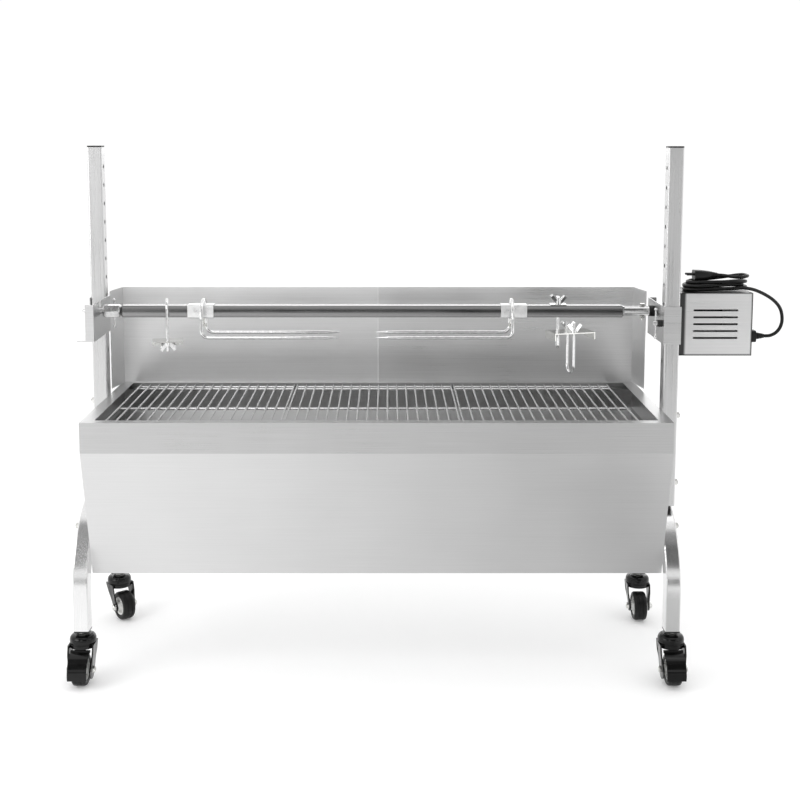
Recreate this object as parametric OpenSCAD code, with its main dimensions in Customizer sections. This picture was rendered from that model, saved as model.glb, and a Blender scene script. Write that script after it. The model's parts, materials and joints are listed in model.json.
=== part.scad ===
// Rotisserie spit roaster: an open charcoal tub on four casters, with two posts that
// carry a motor-driven spit. Millimetres, +Z up, +X towards the motor, -Y is the front.

/* [Tub] */
// Length of the tub over its end panels
tub_len = 1140; // [1100:2:1400]
// Depth of the tub at the rim, front to back
rim_depth = 400; // [380:5:480]
// Height of the rim above the floor
rim_z = 533; // [500:1:580]
// Height of the upright band below the rim
band_h = 60; // [40:1:90]
// Depth of the tub below the rim
tub_h = 325; // [280:1:340]
// Width of the tub's flat bottom, front to back
base_depth = 254; // [200:2:300]
// Thickness of the sheet metal
sheet = 1.2; // [0.8:0.1:2]
// Width of the rim's flat top at the front and the back
rim_lip = 22; // [16:1:32]
// Width of the rim's flat top at the ends
end_lip = 25; // [16:1:36]

/* [Back guard] */
// Height of the guard above the rim
guard_h = 214; // [120:2:260]
// Width of the guard's foot on the rim
guard_foot = 14; // [10:1:18]
// Length of the guard's side wings
wing_len = 75; // [40:1:100]
// Angle by which the wings open outwards
wing_splay = 10; // [0:1:20]
// Width of the fold along the guard's top
guard_fold = 8; // [4:1:12]

/* [Grates] */
// Distance between the bars
bar_pitch = 20; // [14:1:22]
// Diameter of a long bar
bar_d = 4; // [3:0.5:6]
// Diameter of a cross wire
wire_d = 5; // [4:0.5:7]
// Clear gap between neighbouring grates
grate_gap = 3; // [2:0.5:8]
// Depth of the grate ledges below the rim
ledge_drop = 11; // [9:1:20]
// Width of the ledges that the grates lie on
ledge_w = 12; // [8:1:20]

/* [Posts and legs] */
// Width of the square tube of the posts and legs
tube_w = 30; // [25:1:40]
// Wall of the square tube
tube_wall = 1.5; // [1:0.1:3]
// Height of the post tops above the floor
post_top = 1056; // [950:2:1200]
// Distance of each post from the spit, front to back
post_offset = 70; // [60:1:90]
// Distance between the holes in the posts
hole_pitch = 38.5; // [30:0.5:40]
// Distance of the first hole below the post top
hole_drop = 40; // [25:1:60]
// Diameter of the holes in the posts
hole_d = 8.5; // [8:0.1:10]
// Number of holes in each post
hole_count = 11; // [9:1:12]
// Radius of the leg's bend, to the middle of the tube
leg_r = 162; // [150:1:180]
// Height of the middle of the leg's bend above the floor
leg_cz = 173; // [160:1:185]
// Height of the leg ends above the floor
leg_end = 105; // [90:1:120]

/* [Carriages] */
// Height of a carriage
carriage_h = 75; // [60:1:100]
// Length of a carriage, front to back
carriage_len = 146; // [130:1:170]
// Thickness of the carriage plate
plate_t = 2; // [1.5:0.1:3]
// Height of the spit above the locking hole
spit_over_lock = 15; // [10:1:20]
// Height of the spit above the carriage's lower edge
spit_over_foot = 55; // [40:1:60]
// Diameter of the lock screws
lock_d = 8; // [6:0.5:8]

/* [Spit] */
// Place of the spit, front to back, from the tub's middle
spit_y = -14; // [-30:1:30]
// Width of the square spit rod
rod_w = 24; // [18:0.5:28]
// Wall of the spit rod
rod_wall = 2.5; // [1.5:0.1:4]
// Diameter of the stub at the idle end
idler_d = 12; // [8:0.5:16]
// Diameter of the stub at the driven end
drive_d = 20; // [14:0.5:24]

/* [Forks and clamps] */
// Diameter of the fork's bar
tine_d = 6.8; // [5:0.1:8]
// Length of the tines from the fork's leg
tine_len = 278; // [200:1:280]
// Distance between the two tines
tine_gap = 70; // [60:1:90]
// Distance of the tines below the spit
tine_drop = 50; // [40:1:60]
// Wall of the fork's sleeve
sleeve_wall = 1.7; // [1.2:0.1:3]
// Diameter of the U-bolts
ubolt_d = 6; // [5:0.5:7]

/* [Motor] */
// Length of the motor's case
case_len = 152; // [130:1:200]
// Depth of the motor's case, front to back
case_depth = 100; // [80:1:120]
// Height of the motor's case
case_h = 127; // [110:1:150]
// Distance of the spit above the case's floor
spit_over_case = 84; // [60:1:90]
// Diameter of the drive shaft
shaft_d = 8; // [6:0.5:10]
// Number of slots in the case's front
slot_count = 5; // [2:1:5]
// Length of a slot
slot_len = 90; // [60:1:100]

/* [Casters] */
// Diameter of the wheels
wheel_d = 62; // [56:1:66]
// Width of the tyres
tyre_w = 28; // [22:1:30]
// Distance of the axle from the swivel's axis
trail = 22; // [15:1:25]
// Height of the swivel's top above the floor
swivel_top = 96; // [92:1:98]
// Angle to which the rear left caster has swivelled
rear_swivel = 38; // [0:1:90]

/* [Cord] */
// Diameter of the power cord
cord_d = 7; // [5:0.5:8]

/* [Hidden] */
$fn = 48;
CORNERS = ["front_left", "front_right", "rear_left", "rear_right"];

fit = 0.3;              // gap between pieces that slide past each other
run = 0.06;             // gap all round a pin that turns in its bore
over = 1;               // how far a cutting shape runs past the face it cuts
steel = [0.78, 0.78, 0.78];
chrome = [0.86, 0.86, 0.87];
black = [0.07, 0.07, 0.07];

end_x = tub_len / 2;
tub_bottom = rim_z - tub_h;
band_z = rim_z - band_h;
half_rim = rim_depth / 2;
half_base = base_depth / 2;
guard_half = end_x - 4;
grate_bars = floor(((tub_len - 2 * end_lip - 45) / 3 - bar_d - grate_gap) / bar_pitch) + 1;
rod_left = end_x - 45;
rod_right = end_x - 65;

post_out = end_x + tube_w;
lock_z = post_top - hole_drop - 8 * hole_pitch;
spit_z = lock_z + spit_over_lock;
leg_y = 5;
leg_bolt_out = 104;
leg_bolt_z = leg_cz + sqrt(pow(leg_r, 2) - pow(leg_bolt_out, 2));
bolt_d = 8;
bolt_hole = bolt_d + 0.5;
head_t = 5;
nut_t = 6.5;
bolt_out = 8;           // how far a bolt's end stands out of the post
post_bolts = [rim_z - 12, rim_z - 150];

plate_in = end_x - fit - plate_t;
plate_out = post_out + fit;
carriage_z = spit_z - spit_over_foot;
web_y = -post_offset - tube_w / 2 - fit - plate_t;
case_x = plate_out + plate_t;
case_z = spit_z - spit_over_case;
case_top = case_z + case_h;
screw_head = 2.5;
screw_head_d = 7;

caster_x = end_x + tube_w / 2;
corner_r = tube_wall + 1.5;
wheel_r = wheel_d / 2;
pedal_r = wheel_r + 3.5;
pedal_t = 2.5;

// The box round the whole object, without the cord, from the tub's middle.
axle_d = 8;
ear_in = 19.5;
ear_t = 3;
axle_reach = ear_in + ear_t + 7;
left_most = -max(post_out + bolt_out, caster_x + axle_reach);
right_most = case_x + case_len + screw_head;
front_most = min(-half_rim, leg_y - leg_r - trail - pedal_r - pedal_t);
back_most = half_rim;

// Puts a piece from the tub's frame into the object's own frame.
module place() {
    translate([-(left_most + right_most) / 2, -(front_most + back_most) / 2, 0]) children();
}

// Turns a piece of the right end round the spit's middle to the left end when side is -1.
module at_end(side) {
    translate([0, spit_y, 0]) rotate([0, 0, side > 0 ? 0 : 180]) children();
}

// A straight round bar along +X from x1 to x2.
module bar_x(x1, x2, r, sides = 48) {
    translate([x1, 0, 0]) rotate([0, 90, 0]) cylinder(r = r, h = x2 - x1, $fn = sides);
}

// A straight round bar along +Y from y1 to y2.
module bar_y(y1, y2, r) {
    translate([0, y1, 0]) rotate([-90, 0, 0]) cylinder(r = r, h = y2 - y1);
}

// A bolt along +X: head below x1, shank, nut from x2 on and the end beyond it.
module bolt_x(x1, x2, d, end) {
    bar_x(x1 - head_t, x1, d * 0.8, 6);
    bar_x(x1 - head_t, x2 + end, d / 2);
    bar_x(x2, x2 + nut_t, d * 0.8, 6);
}

// ---- Tub ----

module rim_frame() {
    color(steel) difference() {
        translate([-end_x, -half_rim, band_z]) cube([tub_len, rim_depth, band_h]);
        translate([-end_x + sheet, -half_rim + sheet, band_z - over])
            cube([tub_len - 2 * sheet, rim_depth - 2 * sheet, band_h + over - sheet]);
        translate([-end_x + end_lip, -half_rim + rim_lip, band_z])
            cube([tub_len - 2 * end_lip, rim_depth - 2 * rim_lip, band_h + over]);
        for (side = [1, -1]) at_end(side)
            translate([0, -post_offset, post_bolts[0]]) bar_x(end_x - 10, end_x + 10, bolt_hole / 2);
        for (x = guard_bolt_x())
            translate([x, half_rim - guard_foot / 2, rim_z - 10]) cylinder(d = guard_bolt_d + 0.5, h = 20);
    }
}

// The tub's outline, at a distance inside its outer face.
module trough_outline(inset) {
    top = half_rim - inset;
    foot = half_base - inset;
    polygon([[top, band_z], [foot, tub_bottom + inset], [-foot, tub_bottom + inset], [-top, band_z]]);
}

module tub_trough() {
    color(steel) translate([-end_x, 0, 0]) rotate([90, 0, 90]) linear_extrude(tub_len) difference() {
        trough_outline(0);
        trough_outline(sheet);
    }
}

module end_panels() {
    color(steel) for (side = [1, -1]) at_end(side) difference() {
        translate([end_x - sheet, -side * spit_y, 0]) rotate([90, 0, 90]) linear_extrude(sheet)
            trough_outline(sheet);
        translate([0, -post_offset, post_bolts[1]]) bar_x(end_x - 10, end_x + 10, bolt_hole / 2);
        for (y = [-leg_bolt_out, leg_bolt_out])
            translate([0, side * (leg_y - spit_y) + y, leg_bolt_z])
                bar_x(end_x - 10, end_x + 10, bolt_hole / 2);
    }
}

rail_y = half_rim - rim_lip;
ledge_z = rim_z - ledge_drop;

module grate_rails() {
    color(steel) for (s = [1, -1]) scale([1, s, 1]) {
        translate([-end_x + sheet, rail_y, ledge_z - sheet])
            cube([tub_len - 2 * sheet, sheet, ledge_drop]);
        translate([-end_x + sheet, rail_y - ledge_w, ledge_z - sheet])
            cube([tub_len - 2 * sheet, ledge_w, sheet]);
    }
}

grate_w = (grate_bars - 1) * bar_pitch;
grate_step = grate_w + bar_d + grate_gap;
grate_half = rail_y - 2;
wire_z = ledge_z + fit + wire_d / 2;
bar_z = wire_z + (wire_d + bar_d) / 2 - 0.5;
wire_y = [-grate_half + 4, -grate_half / 4, grate_half - 26, grate_half - 4];
grate_shift = -9;       // the grates are pushed to the left, with a wider gap on the right

module grate(place_no) {
    color(chrome) translate([grate_shift + place_no * grate_step, 0, 0]) {
        for (i = [0 : grate_bars - 1])
            translate([i * bar_pitch - grate_w / 2, 0, bar_z]) bar_y(-grate_half, grate_half, bar_d / 2);
        for (y = wire_y)
            translate([0, y, wire_z]) bar_x(-grate_w / 2 - 2, grate_w / 2 + 2, wire_d / 2);
    }
}

// ---- Back guard ----

guard_y = half_rim - guard_foot;
guard_bolt_d = 6;
seam_gap = 0.4;

// Where the guard's bolts stand along the rim.
function guard_bolt_x() = [for (x = [0.07, 0.78], s = [-1, 1]) s * x * guard_half];

module guard(side) {
    color(steel) scale([side, 1, 1]) difference() {
        union() {
            translate([seam_gap / 2, guard_y, rim_z])
                cube([guard_half - seam_gap / 2, sheet, guard_h]);
            translate([seam_gap / 2, guard_y, rim_z])
                cube([guard_half - seam_gap / 2, guard_foot, sheet]);
            translate([seam_gap / 2, guard_y, rim_z + guard_h - sheet])
                cube([guard_half - seam_gap / 2, guard_fold, sheet]);
            translate([guard_half - sheet, guard_y + sheet, rim_z]) rotate([0, 0, wing_splay])
                translate([0, -wing_len, 0]) cube([sheet, wing_len, guard_h]);
        }
        for (x = guard_bolt_x())
            translate([x, half_rim - guard_foot / 2, rim_z - 1]) cylinder(d = guard_bolt_d + 0.5, h = 10);
    }
}

module frame_bolts() {
    color(chrome) {
        for (side = [1, -1]) at_end(side) {
            for (z = post_bolts)
                translate([0, -post_offset, z]) bolt_x(end_x - sheet, post_out, bolt_d, bolt_out);
            for (y = [-leg_bolt_out, leg_bolt_out])
                translate([0, side * (leg_y - spit_y) + y, leg_bolt_z])
                    bolt_x(end_x - sheet, post_out, bolt_d, bolt_out);
        }
        for (x = guard_bolt_x())
            translate([x, half_rim - guard_foot / 2, rim_z + sheet]) rotate([0, 90, 0])
                bolt_x(0, 2 * sheet, guard_bolt_d, bolt_out);
    }
}

// ---- Posts and legs ----

// Height at which a post ends, just above the leg's bend.
function post_foot(side) =
    let (near = abs(side * post_offset + leg_y - spit_y) - tube_w / 2)
    leg_cz + sqrt(pow(leg_r + tube_w / 2, 2) - pow(max(near, 0), 2)) + 4;

module post(side) {
    foot = post_foot(side);
    color(steel) at_end(side) difference() {
        translate([caster_x, -post_offset, foot]) linear_extrude(post_top - foot) tube_outline();
        for (i = [0 : hole_count - 1])
            translate([0, -post_offset, post_top - hole_drop - i * hole_pitch])
                bar_x(end_x - over, post_out + over, hole_d / 2);
        for (z = post_bolts)
            translate([0, -post_offset, z]) bar_x(end_x - over, post_out + over, bolt_hole / 2);
    }
}

// A square with round corners.
module round_square(width, r) {
    square([width, width - 2 * r], center = true);
    square([width - 2 * r, width], center = true);
    for (x = [-1, 1], y = [-1, 1]) translate([x, y] * (width / 2 - r)) circle(r = r);
}

module tube_outline() {
    difference() {
        round_square(tube_w, corner_r);
        round_square(tube_w - 2 * tube_wall, corner_r - tube_wall);
    }
}

module leg(side) {
    color(steel) at_end(side) translate([caster_x, side * (leg_y - spit_y), 0]) difference() {
        union() {
            translate([0, 0, leg_cz]) rotate([90, 0, 90]) rotate_extrude(angle = 180, $fn = 96)
                translate([leg_r, 0]) tube_outline();
            for (y = [-leg_r, leg_r])
                translate([0, y, leg_end]) linear_extrude(leg_cz - leg_end) tube_outline();
        }
        for (y = [-leg_bolt_out, leg_bolt_out])
            translate([0, y, leg_bolt_z]) bar_x(-tube_w, tube_w, bolt_hole / 2);
    }
}

stem_d = 10;
plug_t = 3;
plug_in = 22;

// Where each caster stands: its corner's side, its place and the way it has swivelled.
function corner_x(i) = (i % 2 == 0 ? -1 : 1) * caster_x;
function corner_y(i) = leg_y + (i < 2 ? -1 : 1) * leg_r;
function corner_turn(i) = i == 2 ? rear_swivel : 0;

module tube_plugs() {
    inner = tube_w - 2 * tube_wall;
    color(black) {
        for (side = [1, -1]) at_end(side) translate([caster_x, -post_offset, post_top]) {
            linear_extrude(plug_t) round_square(tube_w, corner_r);
            translate([0, 0, -plug_in]) linear_extrude(plug_in)
                round_square(inner, corner_r - tube_wall);
        }
        for (i = [0 : 3]) translate([corner_x(i), corner_y(i), leg_end]) difference() {
            union() {
                translate([0, 0, -plug_t]) linear_extrude(plug_t) round_square(tube_w, corner_r);
                linear_extrude(plug_in) round_square(inner, corner_r - tube_wall);
            }
            translate([0, 0, -2 * plug_t]) cylinder(d = stem_d, h = plug_in + 4 * plug_t);
        }
    }
}

stem_foot = 78;

module caster_stems() {
    color(chrome) for (i = [0 : 3]) translate([corner_x(i), corner_y(i), 0]) {
        translate([0, 0, stem_foot]) cylinder(d = stem_d, h = leg_end + plug_in - stem_foot);
        translate([0, 0, swivel_top + fit])
            cylinder(d = 18, h = leg_end - plug_t - swivel_top - fit, $fn = 6);
        translate([0, 0, stem_foot - 4]) cylinder(d = 16, h = 4);
    }
}

// ---- Casters ----

// Puts a caster's piece, drawn round its swivel's axis, at its corner.
module at_corner(i) {
    translate([corner_x(i), corner_y(i), 0]) rotate([0, 0, corner_turn(i)]) children();
}

dome_r = 26;
dome_z = 71;
dome_wall = 3;

module ear_outline(braked) {
    hull_top = dome_z + 8;
    eye_r = braked ? 19 : 11;
    difference() {
        union() {
            polygon([[braked ? -22 : -17, hull_top], [15, hull_top], [8, dome_z - 10],
                     [-trail + eye_r - 1, wheel_r - 5], [-trail - eye_r, wheel_r + 2]]);
            translate([-trail, wheel_r]) circle(r = eye_r);
        }
        translate([-trail, wheel_r]) circle(d = axle_d + 0.1);
    }
}

module caster_fork(i) {
    color(black) at_corner(i) difference() {
        union() {
            rotate_extrude() polygon([
                [0, dome_z + 16], [0, swivel_top], [15, swivel_top], [22, swivel_top - 2],
                [25, swivel_top - 5], [dome_r, swivel_top - 9], [dome_r, dome_z],
                [dome_r - dome_wall, dome_z], [dome_r - dome_wall, dome_z + 12],
                [dome_r - 8, dome_z + 16]]);
            for (s = [-1, 1]) translate([s * (ear_in + ear_t / 2) - ear_t / 2, 0, 0])
                rotate([90, 0, 90]) linear_extrude(ear_t) ear_outline(i < 2);
        }
        cylinder(d = stem_d + 2 * run, h = 2 * swivel_top);
    }
}

module caster_axle(i) {
    axle_end = ear_in + ear_t;
    color(chrome) at_corner(i) translate([0, -trail, wheel_r]) {
        bar_x(-axle_reach, axle_reach, axle_d / 2);
        bar_x(-axle_end - 5, -axle_end, 7, 6);
        bar_x(axle_end, axle_end + 5, 7, 6);
    }
}

hub_r = 20;
hub_w = 24;

module wheel_hub(i) {
    color([0.8, 0.8, 0.8]) at_corner(i) translate([0, -trail, wheel_r]) rotate([0, 90, 0])
        rotate_extrude() polygon([
            [axle_d / 2 + run, -ear_in + 1], [9, -ear_in + 1], [10, -hub_w / 2 + 4],
            [hub_r - 4, -hub_w / 2 + 4], [hub_r - 3, -hub_w / 2], [hub_r, -hub_w / 2],
            [hub_r, hub_w / 2], [hub_r - 3, hub_w / 2], [hub_r - 4, hub_w / 2 - 4],
            [10, hub_w / 2 - 4], [9, ear_in - 1], [axle_d / 2 + run, ear_in - 1]]);
}

module wheel_tyre(i) {
    edge = tyre_w / 2;
    color(black) at_corner(i) translate([0, -trail, wheel_r]) rotate([0, 90, 0])
        rotate_extrude() polygon([
            [hub_r, -hub_w / 2], [hub_r + 2, -edge], [wheel_r - 5, -edge],
            [wheel_r - 1.5, -edge + 2], [wheel_r, -edge + 6], [wheel_r, edge - 6],
            [wheel_r - 1.5, edge - 2], [wheel_r - 5, edge], [hub_r + 2, edge],
            [hub_r, hub_w / 2]]);
}

pedal_w = 38;
pedal_pin_y = -19;
pedal_pin_z = dome_z + 1;

module brake_pedal(i) {
    reach = pedal_r + pedal_t;
    color(black) at_corner(i) {
        translate([-pedal_w / 2, -trail, wheel_r]) rotate([90, 0, 90]) linear_extrude(pedal_w)
            intersection() {
                difference() {
                    circle(r = reach);
                    circle(r = pedal_r);
                }
                polygon([[0, 0], [-4, 2 * reach], [-2 * reach, 2 * reach], [-2 * reach, -reach / 2]]);
            }
        translate([0, pedal_pin_y - 5, pedal_pin_z - 4])
            bar_x(-ear_in + fit, ear_in - fit, 3);
    }
}

// ---- Carriages ----

module carriage(side) {
    free_y = web_y + carriage_len;
    post_in = -post_offset + tube_w / 2 + fit;
    outer_len = side > 0 ? carriage_len : post_in + 4 - web_y;
    color(steel) at_end(side) difference() {
        union() {
            translate([plate_in, web_y, carriage_z]) cube([plate_t, carriage_len, carriage_h]);
            translate([plate_in, web_y, carriage_z])
                cube([plate_out + plate_t - plate_in, plate_t, carriage_h]);
            translate([plate_out, web_y, carriage_z]) cube([plate_t, outer_len, carriage_h]);
            translate([plate_in, post_in, carriage_z])
                cube([plate_out + plate_t - plate_in, free_y - post_in, plate_t]);
            translate([plate_in, free_y - plate_t, carriage_z]) cube([17, plate_t, carriage_h]);
        }
        if (side > 0) {
            translate([0, 0, spit_z]) bar_x(plate_in - over, case_x + over, shaft_d / 2 + 0.5);
        } else {
            translate([0, 0, spit_z]) bar_x(plate_in - over, plate_in + plate_t + over, idler_d / 2 + fit);
            translate([plate_in - over, -idler_d / 2 - fit, spit_z])
                cube([plate_t + 2 * over, idler_d + 2 * fit, carriage_h]);
        }
        translate([0, -post_offset, lock_z])
            bar_x(plate_in - over, plate_in + plate_t + over, lock_d / 2 + run);
    }
}

bush_len = 9;
bush_d = 14;

module lock_bush(side) {
    color(black) at_end(side) translate([0, -post_offset, lock_z]) difference() {
        bar_x(plate_in - bush_len, plate_in, bush_d / 2);
        bar_x(plate_in - bush_len - over, plate_in + over, lock_d / 2 + run);
    }
}

tommy_len = 56;
tommy_d = 3.5;

module lock_screw(side) {
    tommy_x = plate_in - bush_len - 3.5;
    color(chrome) at_end(side) translate([0, -post_offset, lock_z]) {
        bar_x(tommy_x - 5, end_x - fit, lock_d / 2);
        translate([tommy_x, 0, -tommy_len / 2]) cylinder(d = tommy_d, h = tommy_len);
        for (s = [-1, 1]) translate([tommy_x, 0, s * tommy_len / 2]) sphere(d = 6.5);
    }
}

// ---- Spit ----

// Puts a piece drawn round the spit's axis at the spit.
module at_spit() {
    translate([0, spit_y, spit_z]) children();
}

spigot = rod_w - 2 * rod_wall;
spigot_len = 20;

module spit_rod() {
    color([0.45, 0.45, 0.45]) at_spit() difference() {
        translate([-rod_left, -rod_w / 2, -rod_w / 2]) cube([rod_left + rod_right, rod_w, rod_w]);
        translate([-rod_left - over, -spigot / 2, -spigot / 2])
            cube([rod_left + rod_right + 2 * over, spigot, spigot]);
        translate([over_clamp_x, 0, 0]) u_holes(over_u_r);
    }
}

bush_end = end_x - 9;
tip_x = end_x + 35;

module idler_bush() {
    color(steel) at_spit() {
        rotate([30, 0, 0]) bar_x(-bush_end, -rod_left, 14, 6);
        translate([-rod_left, -spigot / 2, -spigot / 2]) cube([spigot_len, spigot, spigot]);
        bar_x(-tip_x + 9, -bush_end, idler_d / 2);
        translate([-tip_x + 9, 0, 0]) rotate([0, -90, 0]) cylinder(d1 = idler_d, d2 = 3, h = 9);
    }
}

socket_x = end_x - 14;
stub_bolt_x = socket_x - 13;
stub_bolt_d = 6;

module drive_stub() {
    color(steel) at_spit() difference() {
        union() {
            bar_x(rod_right, socket_x, drive_d / 2);
            translate([rod_right - spigot_len, -spigot / 2, -spigot / 2])
                cube([spigot_len, spigot, spigot]);
            bar_x(socket_x, socket_x + 6, 6);
        }
        translate([stub_bolt_x, 0, -drive_d]) cylinder(d = stub_bolt_d + 0.2, h = 2 * drive_d);
    }
}

module stub_bolt() {
    color(chrome) at_spit() translate([stub_bolt_x, 0, 0]) {
        translate([0, 0, -drive_d / 2 - 9]) cylinder(d = stub_bolt_d, h = drive_d + 14);
        translate([0, 0, drive_d / 2]) cylinder(d = 11, h = 5, $fn = 6);
        translate([0, 0, -drive_d / 2 - 5]) cylinder(d = 11, h = 5, $fn = 6);
    }
}

gear_depth = 36;

module drive_socket() {
    color([0.2, 0.2, 0.2]) at_spit() difference() {
        union() {
            bar_x(socket_x, plate_in - 0.5, 11);
            bar_x(plate_in - 0.5, case_x + sheet + gear_depth - 12, shaft_d / 2);
        }
        bar_x(socket_x - over, socket_x + 6, 6);
    }
}

// ---- Forks ----

fork_leg_left = 169 - rod_left;
fork_leg_right = rod_right - 230.5;
sleeve_back = 31;
sleeve_len = 53;
bend_r = 14;
arch_z = -tine_drop + 37.5;
sleeve_w = rod_w + 2 * fit + 2 * sleeve_wall;

// Puts a fork's piece, drawn with its tines towards +X, on the rod.
module at_fork(side) {
    at_spit() translate([side < 0 ? fork_leg_left : fork_leg_right, 0, 0]) scale([-side, 1, 1]) children();
}

module spit_fork(side) {
    r = tine_d / 2;
    point_len = 26;
    arch_r = tine_gap / 2;
    color(chrome) at_fork(side) {
        difference() {
            translate([-sleeve_back, -sleeve_w / 2, -sleeve_w / 2]) cube([sleeve_len, sleeve_w, sleeve_w]);
            translate([-sleeve_back - over, -rod_w / 2 - fit, -rod_w / 2 - fit])
                cube([sleeve_len + 2 * over, rod_w + 2 * fit, rod_w + 2 * fit]);
            translate([0, 0, -sleeve_w]) cylinder(d = fork_screw_d + 0.2, h = sleeve_w);
        }
        translate([-5, -5, sleeve_w / 2 - 0.5]) cube([10, 10, arch_z + arch_r - r + 1 - sleeve_w / 2]);
        translate([0, 0, arch_z]) rotate([90, 0, 90]) rotate_extrude(angle = 180)
            translate([arch_r, 0]) circle(r = r);
        for (y = [-arch_r, arch_r]) translate([0, y, 0]) {
            translate([0, 0, bend_r - tine_drop]) cylinder(r = r, h = arch_z + tine_drop - bend_r);
            translate([bend_r, 0, bend_r - tine_drop]) rotate([90, 0, 0]) rotate([0, 0, 180])
                rotate_extrude(angle = 90) translate([bend_r, 0]) circle(r = r);
            translate([0, 0, -tine_drop]) bar_x(bend_r, tine_len - point_len, r);
            translate([tine_len - point_len, 0, -tine_drop]) rotate([0, 90, 0])
                cylinder(r1 = r, r2 = 0.6, h = point_len);
        }
    }
}

fork_screw_d = 6;

module fork_screw(side) {
    color(chrome) at_fork(side) {
        translate([0, 0, -rod_w / 2 - 20]) cylinder(d = fork_screw_d, h = 20 - fit);
        translate([0, 0, -rod_w / 2 - 20]) cylinder(d = 13, h = 6, $fn = 6);
    }
}

// ---- Leg clamps ----

u_r = (rod_w + ubolt_d) / 2 + 1.5;
over_u_r = 6;           // the bolt that goes through the rod is narrower
u_seat = round(10 * (rod_w / 2 - sqrt(pow(rod_w / 2 + 1.33, 2) - pow(rod_w / 2, 2)))) / 10;
nut_h = 7;
left_clamp_x = 94 - rod_left;
over_clamp_x = rod_right - 135;
hung_clamp_x = over_clamp_x + 27;
left_plate = -61;
over_plate = rod_w / 2 + fit;
hung_plate = -44;
clamp_t = 2;
hung_turn = 15;
left_turn = 10;

// A U-bolt of a bend radius: its bend's middle is at bend_z, and its legs end at end_z.
module u_bolt(bend_r, bend_z, end_z) {
    r = ubolt_d / 2;
    down = end_z < bend_z;
    translate([0, 0, bend_z]) rotate([down ? 90 : -90, 0, 90]) rotate_extrude(angle = 180)
        translate([bend_r, 0]) circle(r = r);
    for (y = [-bend_r, bend_r])
        translate([0, y, min(bend_z, end_z)]) cylinder(r = r, h = abs(bend_z - end_z));
}

module clamp_u_bolts() {
    color(chrome) at_spit() {
        translate([left_clamp_x, 0, 0]) rotate([0, 0, left_turn]) u_bolt(u_r, u_seat, left_plate - 20);
        translate([over_clamp_x, 0, 0]) u_bolt(over_u_r, -69, over_plate + 17);
        translate([hung_clamp_x, 0, 0]) rotate([0, 0, hung_turn]) u_bolt(u_r, -111.5, hung_plate + 20);
    }
}

// Holes for a U-bolt's legs.
module u_holes(bend_r) {
    for (y = [-bend_r, bend_r]) translate([0, y, -50]) cylinder(d = ubolt_d + 0.6, h = 100);
}

module clamp_plates() {
    color(chrome) at_spit() {
        translate([left_clamp_x, 0, left_plate]) rotate([0, 0, left_turn]) difference() {
            union() {
                translate([-31, -22, -clamp_t]) cube([62, 47, clamp_t]);
                translate([-31, 25 - clamp_t, -14]) cube([62, clamp_t, 14]);
            }
            u_holes(u_r);
        }
        translate([over_clamp_x, 0, over_plate]) difference() {
            translate([-16, -12, 0]) cube([32, 24, clamp_t]);
            u_holes(over_u_r);
        }
        translate([hung_clamp_x, 0, hung_plate]) difference() {
            rotate([0, 0, hung_turn]) difference() {
                union() {
                    translate([-45, -26, 0]) cube([88, 52, clamp_t]);
                    for (x = [-45, 43 - clamp_t])
                        translate([x, -26, -13]) cube([clamp_t, 52, 13 + clamp_t]);
                }
                u_holes(u_r);
            }
            translate([over_clamp_x - hung_clamp_x, 0, 0]) u_holes(over_u_r);
        }
    }
}

// A wing nut on a U-bolt's leg, with its wings pointing up, or down when way is -1.
module wing_nut(way) {
    scale([1, 1, way]) difference() {
        union() {
            cylinder(d = 11, h = nut_h);
            for (s = [-1, 1]) translate([s * 3.5, -1.5, 3]) rotate([0, s * 38, 0])
                translate([-2, 0, 0]) cube([6, 3, 17]);
        }
        translate([0, 0, -over]) cylinder(d = ubolt_d + 0.1, h = 40);
    }
}

module clamp_nuts() {
    color(chrome) at_spit() for (s = [-1, 1]) {
        translate([left_clamp_x, 0, left_plate - clamp_t]) rotate([0, 0, left_turn])
            translate([0, s * u_r, 0]) wing_nut(-1);
        translate([over_clamp_x, s * over_u_r, over_plate + clamp_t]) wing_nut(1);
        translate([hung_clamp_x, 0, hung_plate + clamp_t]) rotate([0, 0, hung_turn])
            translate([0, s * u_r, 0]) wing_nut(1);
        translate([over_clamp_x, s * over_u_r, hung_plate - 5]) difference() {
            cylinder(d = 11, h = 5, $fn = 6);
            translate([0, 0, -over]) cylinder(d = ubolt_d + 0.1, h = 10);
        }
    }
}

// ---- Motor ----

case_screw_at = [25, -30];

module motor_base() {
    inner_depth = case_depth - 2 * sheet;
    color(steel) translate([case_x, spit_y, 0]) difference() {
        union() {
            for (x = [0, case_len - sheet])
                translate([x, -inner_depth / 2, case_z]) cube([sheet, inner_depth, case_h - sheet]);
            translate([0, -inner_depth / 2, case_z]) cube([case_len, inner_depth, sheet]);
        }
        translate([0, 0, spit_z]) bar_x(-over, 10, shaft_d / 2 + 0.5);
        for (z = case_screw_at)
            translate([case_len, -30, spit_z + z]) bar_x(-10, 10, 1.7);
        for (x = [22, 112])
            translate([x, -30, case_z - 10]) cylinder(r = 1.7, h = 20);
    }
}

slot_h = 4;
slot_pitch = 14;

module motor_cover() {
    color(steel) translate([case_x, spit_y, 0]) difference() {
        union() {
            for (y = [-case_depth / 2, case_depth / 2 - sheet])
                translate([0, y, case_z]) cube([case_len, sheet, case_h]);
            translate([0, -case_depth / 2, case_top - sheet]) cube([case_len, case_depth, sheet]);
        }
        for (i = [0 : slot_count - 1])
            translate([case_len / 2 + 2, -case_depth / 2, case_z + 36 + i * slot_pitch]) {
                cube([slot_len - slot_h, 2 * sheet + 2 * over, slot_h], center = true);
                for (s = [-1, 1]) translate([s * (slot_len - slot_h) / 2, 0, 0])
                    bar_y(-sheet - over, sheet + over, slot_h / 2);
            }
    }
}

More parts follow.
